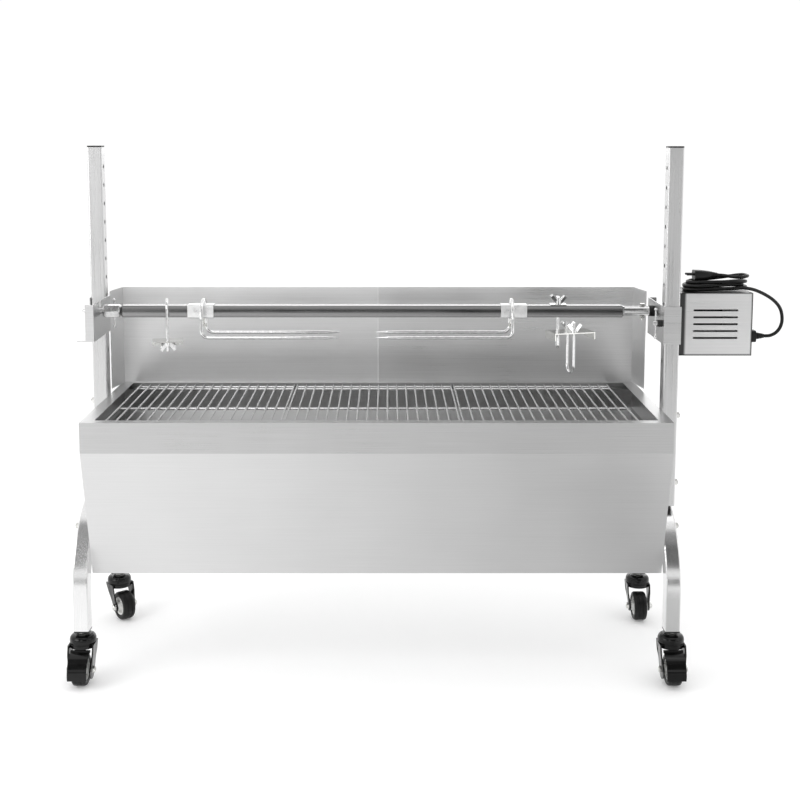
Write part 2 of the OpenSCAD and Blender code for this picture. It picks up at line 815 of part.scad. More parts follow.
module gear_motor() {
    color([0.35, 0.35, 0.36]) translate([case_x + sheet, spit_y, spit_z]) difference() {
        union() {
            translate([0, -30, -38]) cube([gear_depth, 60, 72]);
            translate([0, 0, -10]) bar_x(gear_depth, gear_depth + 62, 26);
        }
        bar_x(-over, gear_depth - 10, shaft_d / 2 + run);
    }
}

module case_screws() {
    color(chrome) translate([case_x, spit_y, 0]) {
        for (z = case_screw_at) translate([case_len, -30, spit_z + z]) {
            bar_x(-4, 0.5, 1.5);
            bar_x(0, screw_head, screw_head_d / 2);
        }
        for (x = [22, 112]) translate([x, -30, case_z]) {
            translate([0, 0, -0.5]) cylinder(r = 1.5, h = 4.5);
            translate([0, 0, -screw_head]) cylinder(r = screw_head_d / 2, h = screw_head);
        }
    }
}

// ---- Cord ----

cord_r = cord_d / 2;
cord_z = case_z + 32;
relief_x = case_x + case_len;

module cord_connector() {
    color(black) translate([relief_x, spit_y, cord_z]) {
        translate([0, -13, -12]) cube([20, 26, 24]);
        bar_x(20, 28, 11);
        translate([28, 0, 0]) rotate([0, 90, 0]) cylinder(r1 = 11, r2 = cord_r + 1, h = 11);
    }
}

hank_len = 131;
hank_w = 63;
hank_h = 21;
hank_end = case_x + case_len - 1;
hank_y = -6;

module cord_hank() {
    color(black) translate([hank_end - hank_len, spit_y + hank_y, case_top + fit])
        linear_extrude(hank_h) union() {
            translate([hank_w / 2, 0]) circle(d = hank_w);
            translate([hank_len - hank_w / 2, 0]) circle(d = hank_w);
            translate([hank_w / 2, -hank_w / 2]) square([hank_len - hank_w, hank_w]);
        }
}

plug_x = hank_end - hank_len + 22;

module cord_plug() {
    color(black) translate([plug_x, spit_y + hank_y, case_top + fit + hank_h]) {
        translate([0, -14, 0]) cube([34, 28, 21]);
        translate([34, 0, 10]) rotate([0, 90, 0]) cylinder(r1 = 9, r2 = cord_r + 1, h = 16);
        for (y = [-7, 7]) translate([-16, y, 12]) bar_x(0, 16, 2.2);
    }
}

// The cord's route from the connector to the hank, from the connector's outer end.
CORD_ROUTE = [
    [-3, 0, 0], [6, 0, 0], [14, 0, 1], [24, 0, 6], [32, 0, 15], [36, 0, 27],
    [36, 0, 40], [32, 0, 54], [24, 0, 66], [12, -1, 77], [-2, -2, 86], [-16, -3, 93],
    [-30, -5, 98], [-45, -6, 101]];
RING_SIDES = 10;

// The direction of the route at its point i.
function route_way(i) =
    let (a = CORD_ROUTE[max(i - 1, 0)], b = CORD_ROUTE[min(i + 1, len(CORD_ROUTE) - 1)])
    (b - a) / norm(b - a);

// The ring of points round the route's point i.
function route_ring(i) =
    let (way = route_way(i), side = cross(way, [0, 1, 0]), u = side / norm(side), w = cross(way, u))
    [for (k = [0 : RING_SIDES - 1])
        CORD_ROUTE[i] + cord_r * (cos(360 * k / RING_SIDES) * u + sin(360 * k / RING_SIDES) * w)];

module power_cord() {
    count = len(CORD_ROUTE);
    n = RING_SIDES;
    points = [for (i = [0 : count - 1]) each route_ring(i)];
    sides = [for (i = [0 : count - 2], k = [0 : n - 1])
        [i * n + k, i * n + (k + 1) % n, (i + 1) * n + (k + 1) % n, (i + 1) * n + k]];
    caps = [[for (k = [n - 1 : -1 : 0]) k], [for (k = [0 : n - 1]) (count - 1) * n + k]];
    color(black) translate([relief_x + 39, spit_y, cord_z])
        polyhedron(points = points, faces = concat(sides, caps));
}

place() rim_frame();
place() tub_trough();
place() end_panels();
place() grate_rails();
place() grate(-1);  // grate_left
place() grate(0);  // grate_middle
place() grate(1);  // grate_right
place() guard(-1);  // guard_left
place() guard(1);  // guard_right
place() frame_bolts();
place() post(-1);  // post_left
place() post(1);  // post_right
place() leg(-1);  // leg_left
place() leg(1);  // leg_right
place() tube_plugs();
place() caster_stems();
for (i = [0 : 3]) {
    place() caster_fork(i);
    place() caster_axle(i);
    place() wheel_hub(i);
    place() wheel_tyre(i);
}
place() brake_pedal(0);  // brake_pedal_left
place() brake_pedal(1);  // brake_pedal_right
place() carriage(-1);  // carriage_left
place() carriage(1);  // carriage_right
place() lock_bush(-1);  // lock_bush_left
place() lock_bush(1);  // lock_bush_right
place() lock_screw(-1);  // lock_screw_left
place() lock_screw(1);  // lock_screw_right
place() spit_rod();
place() idler_bush();
place() drive_stub();
place() stub_bolt();
place() drive_socket();
place() spit_fork(-1);  // fork_left
place() spit_fork(1);  // fork_right
place() fork_screw(-1);  // fork_screw_left
place() fork_screw(1);  // fork_screw_right
place() clamp_u_bolts();
place() clamp_plates();
place() clamp_nuts();
place() motor_base();
place() motor_cover();
place() gear_motor();
place() case_screws();
place() cord_connector();
place() power_cord();
place() cord_hank();
place() cord_plug();
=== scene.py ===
"""Looks of a stainless rotisserie spit roaster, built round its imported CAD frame."""

from __future__ import annotations

import json
import logging
import math
from dataclasses import dataclass
from enum import Enum

import bmesh
import bpy
from mathutils import Matrix, Vector


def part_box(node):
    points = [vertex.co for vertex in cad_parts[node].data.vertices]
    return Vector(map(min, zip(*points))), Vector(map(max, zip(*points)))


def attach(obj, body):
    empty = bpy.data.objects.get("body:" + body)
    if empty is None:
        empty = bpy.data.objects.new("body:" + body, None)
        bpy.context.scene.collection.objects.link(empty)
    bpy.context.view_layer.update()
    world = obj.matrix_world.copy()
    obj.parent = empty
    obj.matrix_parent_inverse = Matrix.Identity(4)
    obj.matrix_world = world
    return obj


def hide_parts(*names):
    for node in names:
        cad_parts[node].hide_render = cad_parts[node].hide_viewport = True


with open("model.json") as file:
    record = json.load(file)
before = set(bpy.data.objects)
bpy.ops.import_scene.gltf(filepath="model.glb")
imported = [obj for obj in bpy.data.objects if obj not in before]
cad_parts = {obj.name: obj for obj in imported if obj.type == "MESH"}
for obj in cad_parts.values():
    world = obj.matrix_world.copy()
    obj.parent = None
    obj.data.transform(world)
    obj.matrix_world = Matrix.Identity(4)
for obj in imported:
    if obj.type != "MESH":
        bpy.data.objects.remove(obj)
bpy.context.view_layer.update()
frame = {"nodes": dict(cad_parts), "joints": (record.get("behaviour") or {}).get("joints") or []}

LOG = logging.getLogger("roaster")
MM = 0.001
CORNERS = ("front_left", "front_right", "rear_left", "rear_right")
Point = tuple[float, float, float]
Outline = list[tuple[float, float]]
Glow = tuple[tuple[float, float], ...]
Mesh = bmesh.types.BMesh
Material = bpy.types.Material
Socket = bpy.types.NodeSocket
Tree = bpy.types.NodeTree


class Axis(Enum):
    """A direction in which a surface was brushed or drawn."""

    X = 0
    Y = 1
    Z = 2


# ---- Small helpers ----


def linear(hex_colour: str) -> tuple[float, float, float, float]:
    """Turns an sRGB hex colour into linear values.

    Args:
        hex_colour: Six hex digits with a leading hash.

    Returns:
        Linear red, green, blue and full alpha.
    """
    parts = [int(hex_colour[i : i + 2], 16) / 255 for i in (1, 3, 5)]
    out = [c / 12.92 if c <= 0.04045 else ((c + 0.055) / 1.055) ** 2.4 for c in parts]
    return out[0], out[1], out[2], 1.0


def add_node(tree: Tree, kind: str, inputs: dict | None = None, **settings: object) -> bpy.types.Node:
    """Adds a shader node with its settings, values and links.

    Args:
        tree: The tree that gets the node.
        kind: The node's type name.
        inputs: What goes in each input: a socket is linked, and anything else is a value.
        **settings: Properties of the node itself.

    Returns:
        The new node.
    """
    node = tree.nodes.new(kind)
    for key, value in settings.items():
        setattr(node, key, value)
    for key, value in (inputs or {}).items():
        if isinstance(value, Socket):
            tree.links.new(value, node.inputs[key])
        else:
            node.inputs[key].default_value = value
    return node


def new_material(name: str) -> tuple[Material, Tree, bpy.types.Node]:
    """Makes an empty material with a Principled shader.

    Args:
        name: The material's name.

    Returns:
        The material, its tree and its Principled node.
    """
    material = bpy.data.materials.new(name)
    material.use_nodes = True
    tree = material.node_tree
    return material, tree, tree.nodes["Principled BSDF"]


def ramp_between(tree: Tree, factor: Socket, low: str, high: str) -> Socket:
    """Mixes two hex colours by a factor.

    Args:
        tree: The tree that gets the nodes.
        factor: The socket that mixes them.
        low: The colour at 0.
        high: The colour at 1.

    Returns:
        The mixed colour's socket.
    """
    mix = add_node(tree, "ShaderNodeMix", data_type="RGBA")
    tree.links.new(factor, mix.inputs[0])
    mix.inputs[6].default_value = linear(low)
    mix.inputs[7].default_value = linear(high)
    return mix.outputs[2]


def spread(tree: Tree, value: Socket, low: float, high: float) -> Socket:
    """Maps a noise value, which lies mostly between 0.3 and 0.7, onto a range.

    Args:
        tree: The tree that gets the node.
        value: The noise.
        low: What 0.3 becomes.
        high: What 0.7 becomes.

    Returns:
        The mapped value's socket.
    """
    node = add_node(tree, "ShaderNodeMapRange", {
        "Value": value, "From Min": 0.3, "From Max": 0.7, "To Min": low, "To Max": high})
    return node.outputs["Result"]


def noise(tree: Tree, place: Socket, scale: float, detail: float = 2.0, rough: float = 0.5) -> Socket:
    """Adds a noise to a tree.

    Args:
        tree: The tree that gets the node.
        place: Where it is read.
        scale: Its features per metre.
        detail: Its finer layers.
        rough: How strong they are.

    Returns:
        The noise's socket.
    """
    node = add_node(tree, "ShaderNodeTexNoise", {
        "Vector": place, "Scale": scale, "Detail": detail, "Roughness": rough})
    return node.outputs["Fac"]


def surface(tree: Tree, shader: bpy.types.Node, colour: Socket, rough: Socket, height: Socket,
            bump: tuple[float, float]) -> None:
    """Gives a shader its colour, roughness and fine relief.

    Args:
        tree: The tree they are in.
        shader: The surface's shader.
        colour: Its colour.
        rough: Its roughness.
        height: The relief.
        bump: The relief's strength and depth in mm.
    """
    relief = add_node(tree, "ShaderNodeBump", {
        "Height": height, "Strength": bump[0], "Distance": bump[1] * MM})
    for socket, value in (("Base Color", colour), ("Roughness", rough), ("Normal", relief.outputs["Normal"])):
        tree.links.new(value, shader.inputs[socket])


# ---- Finishes ----


@dataclass(frozen=True)
class BrushedSteel:
    """Stainless sheet or tube, ground with a belt: fine lines that drag each highlight out.

    Attributes:
        name: The material's name.
        light: The colour on the crests of the grain.
        dark: The colour in its troughs.
        axis: The way the belt ran.
        roughness: Middle of the surface's roughness.
        line_mm: Width of one brushed line. Real lines are 0.1 mm, too fine to show, so they
            are drawn coarser.
        depth: How strongly the lines tilt the light.
        cloud_mm: Size of the soft clouds left by handling and uneven pressure.
        painted_post_shade: Where along X a painted shade strip beside the post starts to fade and ends, in
            metres, and its colour.
        corners: Low and high corners of a folded cover whose rolled edges get painted shade, if any.
    """

    name: str
    light: str
    dark: str
    axis: Axis
    roughness: float = 0.3
    line_mm: float = 0.8
    depth: float = 0.06
    cloud_mm: float = 160.0
    painted_post_shade: tuple[float, float, str] | None = None
    corners: tuple[Vector, Vector] | None = None

    def build(self) -> Material:
        """Builds the material.

        Returns:
            The material.
        """
        material, tree, shader = new_material(self.name)
        place = add_node(tree, "ShaderNodeTexCoord").outputs["Object"]
        scale = [1 / (self.line_mm * MM)] * 3
        scale[self.axis.value] = 1 / (220 * self.line_mm * MM)
        stretched = add_node(tree, "ShaderNodeMapping", {"Vector": place, "Scale": scale})
        lines = noise(tree, stretched.outputs["Vector"], 1.0, 3.0, 0.6)
        clouds = noise(tree, place, 1 / (self.cloud_mm * MM))
        both = add_node(tree, "ShaderNodeMix", {0: 0.35, 2: lines, 3: clouds}).outputs[0]
        colour = ramp_between(tree, spread(tree, both, 0.0, 1.0), self.dark, self.light)
        # Painted shade: a dark strip on the cover beside the post, fading out along X, in place of the shade
        # there.
        if self.painted_post_shade:
            along = add_node(tree, "ShaderNodeSeparateXYZ", {"Vector": place})
            share = add_node(tree, "ShaderNodeMapRange", {
                "Value": along.outputs["X"], "From Min": self.painted_post_shade[0], "From Max": self.painted_post_shade[1]},
                interpolation_type="SMOOTHSTEP")
            strip = add_node(tree, "ShaderNodeMix", {0: share.outputs["Result"], 7: colour}, data_type="RGBA")
            strip.inputs[6].default_value = linear(self.painted_post_shade[2])
            colour = strip.outputs[2]
        if self.corners:
            # Painted shade: the cover's rolled edges are darkened in colour, in place of the shade they lie
            # in.
            colour = self.painted_edge_shade(tree, place, colour)
        rough = spread(tree, both, self.roughness - 0.07, self.roughness + 0.09)
        surface(tree, shader, colour, rough, lines, (self.depth, 0.3))
        shader.inputs["Metallic"].default_value = 1.0
        return material

    def painted_edge_shade(self, tree: Tree, place: Socket, colour: Socket) -> Socket:
        """Paints shade onto the rolled top, bottom and right edges of a folded cover.

        Args:
            tree: The tree that gets the nodes.
            place: The place on the surface.
            colour: The sheet's colour.

        Returns:
            The colour with its painted edge shade.
        """
        low, high = self.corners
        parts = add_node(tree, "ShaderNodeSeparateXYZ", {"Vector": place})
        shade = None
        edges = (("X", high.x - 4 * MM, high.x - 1 * MM), ("Z", high.z - 2.5 * MM, high.z),
                 ("Z", low.z + 4 * MM, low.z + 1 * MM))
        for axis, inner, outer in edges:
            near = add_node(tree, "ShaderNodeMapRange", {
                "Value": parts.outputs[axis], "From Min": inner, "From Max": outer}).outputs["Result"]
            if shade is not None:
                near = add_node(tree, "ShaderNodeMath", {0: shade, 1: near},
                                operation="MAXIMUM").outputs["Value"]
            shade = near
        # The painted shade's colour on the rolled edges.
        mix = add_node(tree, "ShaderNodeMix", {0: shade, 6: colour}, data_type="RGBA")
        mix.inputs[7].default_value = linear("#2e2e2e")
        return mix.outputs[2]


@dataclass(frozen=True)
class BrightSteel:
    """Chromed or drawn bright steel: sharp reflections with a faint haze and fine pits.

    Attributes:
        name: The material's name.
        light: The colour of the clean plating.
        dark: The colour where it is hazed.
        roughness: Middle of the surface's roughness.
        haze_mm: Size of the hazy patches.
    """

    name: str
    light: str
    dark: str
    roughness: float = 0.12
    haze_mm: float = 9.0

    def build(self) -> Material:
        """Builds the material.

        Returns:
            The material.
        """
        material, tree, shader = new_material(self.name)
        place = add_node(tree, "ShaderNodeTexCoord").outputs["Object"]
        haze = noise(tree, place, 1 / (self.haze_mm * MM), 4.0, 0.6)
        colour = ramp_between(tree, spread(tree, haze, 0.0, 1.0), self.dark, self.light)
        rough = spread(tree, haze, self.roughness - 0.05, self.roughness + 0.08)
        surface(tree, shader, colour, rough, noise(tree, place, 1 / (0.9 * MM)), (0.03, 0.2))
        shader.inputs["Metallic"].default_value = 1.0
        return material


@dataclass(frozen=True)
class MouldedPlastic:
    """A moulded polymer: an even colour with a fine mould texture that breaks its gloss.

    Attributes:
        name: The material's name.
        light: The lighter of its two close shades.
        dark: The darker of them.
        roughness: Middle of the surface's roughness.
        grain_mm: Size of the mould's texture.
        depth: Strength of that texture.
        coat: Weight of a clear coat, for lacquered pieces.
        ior: Its refraction, lower for a deeper black.
    """

    name: str
    light: str
    dark: str
    roughness: float
    grain_mm: float = 0.7
    depth: float = 0.1
    coat: float = 0.0
    ior: float = 1.5

    def build(self) -> Material:
        """Builds the material.

        Returns:
            The material.
        """
        material, tree, shader = new_material(self.name)
        place = add_node(tree, "ShaderNodeTexCoord").outputs["Object"]
        shade = noise(tree, place, 1 / (14 * MM), 3.0)
        colour = ramp_between(tree, spread(tree, shade, 0.0, 1.0), self.dark, self.light)
        rough = spread(tree, shade, self.roughness - 0.05, self.roughness + 0.07)
        surface(tree, shader, colour, rough, noise(tree, place, 1 / (self.grain_mm * MM)), (self.depth, 0.3))
        shader.inputs["IOR"].default_value = self.ior
        shader.inputs["Coat Weight"].default_value = self.coat
        return material


class Finishes:
    """Every finish of the roaster, built once and shared."""

    def __init__(self) -> None:
        """Builds the materials."""
        # Stainless sheet, brushed along its length: even grey with long soft streaks.
        self.band = BrushedSteel("stainless_band_brushed_lengthwise", "#cecece", "#bababa", Axis.X,
                                 0.32).build()
        self.panel = BrushedSteel("stainless_panel_brushed_lengthwise", "#dedede", "#d4d4d4", Axis.X,
                                  0.36).build()
        # Mill-finish plate inside the tub: duller, with a faint grain.
        self.inside = BrushedSteel("stainless_plate_mill_finish", "#a8a8a8", "#8c8c8c", Axis.X, 0.38).build()
        # The guard's two halves come from two sheets; their different shades are painted light: the left half
        # is painted lighter and is a little rougher, the right half darker.
        self.guard_left = BrushedSteel("stainless_guard_brushed_painted_lighter", "#eeeeee", "#e2e2e2", Axis.X,
                                       0.36).build()
        self.guard_right = BrushedSteel("stainless_guard_brushed_painted_darker", "#e6e6e6", "#d6d6d6", Axis.X,
                                        0.32).build()
        # Square tube, brushed along each length: upright streaks.
        self.post = BrushedSteel("stainless_tube_brushed_upright", "#dedede", "#cccccc", Axis.Z, 0.3).build()
        # Bent tube, buffed after bending: bright, with soft dark bands where it curves.
        self.leg = BrushedSteel("stainless_tube_buffed_bright", "#f2f2f2", "#dcdcdc", Axis.Z, 0.2,
                                depth=0.03).build()
        # Drawn tube for the spit: smooth and dark, so its front stays darker than the sheet.
        self.rod = BrushedSteel("steel_square_tube_drawn", "#929292", "#7a7a7a", Axis.X, 0.12).build()
        self.case = BrushedSteel("stainless_case_brushed_lengthwise", "#dedede", "#cecece", Axis.X,
                                 0.33).build()
        # The cover gets painted shade: a dark strip beside the post and dark rolled edges, which stand in for
        # shade whose cause is a guess.
        cover = frame["nodes"]["motor_cover"].matrix_world.inverted()
        low, high = (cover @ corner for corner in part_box("motor_cover"))
        self.cover = BrushedSteel("stainless_cover_brushed_with_painted_shade", "#ececec", "#dcdcdc", Axis.X, 0.33,
                                  painted_post_shade=(low.x + 14 * MM, low.x + 20 * MM, "#4a4a4a"),
                                  corners=(low, high)).build()
        # Plated round stock: sharp highlights between thin dark edges.
        self.wire = BrightSteel("chromed_wire_drawn", "#f4f4f4", "#dcdcdc", 0.16).build()
        self.turned = BrightSteel("stainless_bar_turned", "#e2e2e2", "#c2c2c2", 0.18).build()
        self.sleeve = BrightSteel("steel_sleeve_satin_chromed", "#f6f6f6", "#e2e2e2", 0.3).build()
        self.chrome = BrightSteel("steel_bar_chromed", "#f6f6f6", "#dedede", 0.06).build()
        self.zinc = BrightSteel("steel_fastener_zinc_plated", "#ececea", "#cacac6", 0.16, 4.0).build()
        self.socket = BrightSteel("steel_socket_blackened", "#3a3a3a", "#262626", 0.3).build()
        self.motor = MouldedPlastic("steel_motor_stove_enamelled", "#1c1c1e", "#141416", 0.4).build()
        # Yokes are pressed and dipped in gloss enamel: deep black with small hard highlights.
        self.enamel = MouldedPlastic("steel_yoke_black_enamelled", "#0e0e0e", "#060606", 0.13, 1.4, 0.16,
                                     0.15, 1.33).build()
        # Moulded pieces: near black with a soft sheen, and a pale hub.
        self.plug_cap = MouldedPlastic("polythene_cap_moulded", "#191919", "#101010", 0.45).build()
        self.hub = MouldedPlastic("nylon_hub_moulded", "#e9e9e7", "#dadad8", 0.3).build()
        self.tyre = MouldedPlastic("rubber_tyre_moulded", "#161616", "#0c0c0c", 0.42, 0.5, 0.2,
                                   ior=1.33).build()
        self.cord = MouldedPlastic("vinyl_cord_extruded", "#121212", "#080808", 0.3, 0.4, 0.08,
                                   ior=1.36).build()
        self.plug = MouldedPlastic("rubber_plug_moulded", "#141414", "#0a0a0a", 0.38, 0.6, 0.18,
                                   ior=1.36).build()


# ---- Mesh making ----


def dress(node: str, material: Material) -> None:
    """Gives a CAD node's surface a finish.

    Args:
        node: The node's name.
        material: Its finish.
    """
    for slot in frame["nodes"][node].material_slots:
        slot.material = material
    LOG.info("%s: %s", node, material.name)


def add_piece(name: str, bm: Mesh, material: Material, body: str,
              replaces: tuple[str, ...] = (), bevel: float = 0.0, sharp: float = 35.0) -> bpy.types.Object:
    """Makes an object of a mesh, dresses it and lets it ride on a body.

    Args:
        name: The piece's name.
        bm: Its mesh, which is freed.
        material: Its finish.
        body: The body that it rides on.
        replaces: The CAD nodes that it stands for.
        bevel: Width of the round along its edges, in metres, or 0 for none.
        sharp: Angle above which an edge stays sharp, in degrees.

    Returns:
        The new object.
    """
    bmesh.ops.remove_doubles(bm, verts=bm.verts, dist=1e-6)
    bmesh.ops.recalc_face_normals(bm, faces=bm.faces)
    mesh = bpy.data.meshes.new(name)
    bm.to_mesh(mesh)
    bm.free()
    piece = bpy.data.objects.new(name, mesh)
    bpy.context.scene.collection.objects.link(piece)
    mesh.materials.append(material)
    mesh.shade_smooth()
    mesh.set_sharp_from_angle(angle=math.radians(sharp))
    if bevel:
        round_off = piece.modifiers.new("edge_round", "BEVEL")
        round_off.width = bevel
        round_off.segments = 3
        round_off.limit_method = "ANGLE"
        round_off.angle_limit = math.radians(sharp)
        round_off.harden_normals = False
    if replaces:
        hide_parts(*replaces)
    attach(piece, body)
    LOG.info("%s on %s: %s", name, body, material.name)
    return piece


def loft(bm: Mesh, rings: list[list[bmesh.types.BMVert]], capped: bool = True) -> None:
    """Joins rings of points with faces.

    Args:
        bm: The mesh that gets them.
        rings: Rings with the same number of points each.
        capped: True if the first and last ring are closed with a face.
    """
    count = len(rings[0])
    for a, b in zip(rings, rings[1:]):
        for k in range(count):
            n = (k + 1) % count
            bm.faces.new([a[k], a[n], b[n], b[k]])
    if capped:
        bm.faces.new(reversed(rings[0]))
        bm.faces.new(rings[-1])


def turn(bm: Mesh, profile: Outline, where: Matrix, steps: int = 48) -> None:
    """Adds a solid turned about the local Z axis.

    Args:
        bm: The mesh that gets it.
        profile: Radius and height of each point. A closed profile repeats its first point.
        where: Places the solid.
        steps: Number of facets round it.
    """
    rings = []
    for radius, height in profile:
        if radius < 1e-7:
            rings.append([bm.verts.new(where @ Vector((0, 0, height)))])
            continue
        rings.append([bm.verts.new(where @ Vector((
            radius * math.cos(2 * math.pi * k / steps), radius * math.sin(2 * math.pi * k / steps), height)))
            for k in range(steps)])
    for a, b in zip(rings, rings[1:]):
        for k in range(steps):
            n = (k + 1) % steps
            corners = [a[k % len(a)], a[n % len(a)], b[n % len(b)], b[k % len(b)]]
            unique = list(dict.fromkeys(corners))
            if len(unique) > 2:
                bm.faces.new(unique)


def sweep(bm: Mesh, path: list[Vector], radii: list[float], sides: int = 16) -> None:
    """Adds a closed round bar along a path, with a radius at each point.

    Args:
        bm: The mesh that gets it.
        path: Points of its centreline.
        radii: The radius at each point.
        sides: Number of facets round it.
    """
    rings, side = [], None
    for i, point in enumerate(path):
        way = (path[min(i + 1, len(path) - 1)] - path[max(i - 1, 0)]).normalized()
        if side is None:
            side = way.orthogonal().normalized()
        side = (side - way * side.dot(way)).normalized()
        other = way.cross(side)
        rings.append([bm.verts.new(point + radii[i] * (
            math.cos(2 * math.pi * k / sides) * side + math.sin(2 * math.pi * k / sides) * other))
            for k in range(sides)])
    loft(bm, rings)


def plate(bm: Mesh, outline: Outline, thick: float, where: Matrix) -> None:
    """Adds a flat plate: an outline in the local XY plane, made thick along local Z.

    Args:
        bm: The mesh that gets it.
        outline: Corners of the outline, in order.
        thick: Its thickness, centred on the plane.
        where: Places the plate.
    """
    loft(bm, [[bm.verts.new(where @ Vector((x, y, z))) for x, y in outline]
              for z in (-thick / 2, thick / 2)])


def arc(centre: tuple[float, float], radius: float, start: float, end: float, steps: int = 8) -> Outline:
    """Makes points along an arc.

    Args:
        centre: The arc's middle.
        radius: Its radius.
        start: Its first angle in degrees.
        end: Its last angle in degrees.
        steps: Number of chords.

    Returns:
        The points in order.
    """
    angles = [math.radians(start + (end - start) * k / steps) for k in range(steps + 1)]
    return [(centre[0] + radius * math.cos(a), centre[1] + radius * math.sin(a)) for a in angles]


def round_box(width: float, depth: float, radius: float) -> Outline:
    """Makes the outline of a rectangle with round corners, about its middle.

    Args:
        width: Its size along the first axis.
        depth: Its size along the second axis.
        radius: The radius of its corners.

    Returns:
        The outline's points.
    """
    x, y = width / 2 - radius, depth / 2 - radius
    return [point for cx, cy, start in ((x, y, 0), (-x, y, 90), (-x, -y, 180), (x, -y, 270))
            for point in arc((cx, cy), radius, start, start + 90, 5)]


def threaded(start: float, end: float, radius: float, pitch: float) -> Outline:
    """Makes profile points of a thread's crests and roots between two heights.

    Args:
        start: Where the thread starts.
        end: Where it ends.
        radius: Radius of its crests.
        pitch: Distance between crests, about.

    Returns:
        Radius and height of each point.
    """
    count = max(2, int((end - start) / pitch))
    step = (end - start) / count
    points = []
    for k in range(count):
        points += [(radius, start + k * step), (radius, start + (k + 0.35) * step),
                   (radius * 0.88, start + (k + 0.65) * step)]
    return points + [(radius, end)]


def ribbed(first: Point, pitch: float, slimmer: float, rib: Point) -> Outline:
    """Makes profile points of the four ribs of a strain relief's sleeve.

    Args:
        first: Where the first rib starts, its radius and the depth of the grooves.
        pitch: Distance between ribs.
        slimmer: How much slimmer each next rib is.
        rib: Where, from its start, a rib ends and its groove starts and ends.

    Returns:
        Radius and height of each point.
    """
    start, wide, deep = first
    points = []
    for k in range(4):
        at, r = start + pitch * k, wide - slimmer * k
        points += [(r, at), (r, at + rib[0]), (r - deep, at + rib[1]), (r - deep, at + rib[2])]
    return points


def hexagon(flats: float) -> Outline:
    """Makes the outline of a hexagon with a point on the first axis.

    Args:
        flats: Its width across flats.

    Returns:
        Its corners.
    """
    return arc((0, 0), flats / math.sqrt(3), 0, 300, 5)


def joint(name: str) -> dict:
    """Finds a joint of the frame.

    Args:
        name: The joint's name.

    Returns:
        Its entry in the frame.
    """
    return next(j for j in frame["joints"] if j["name"] == name)


# ---- Camera, lights and floor ----


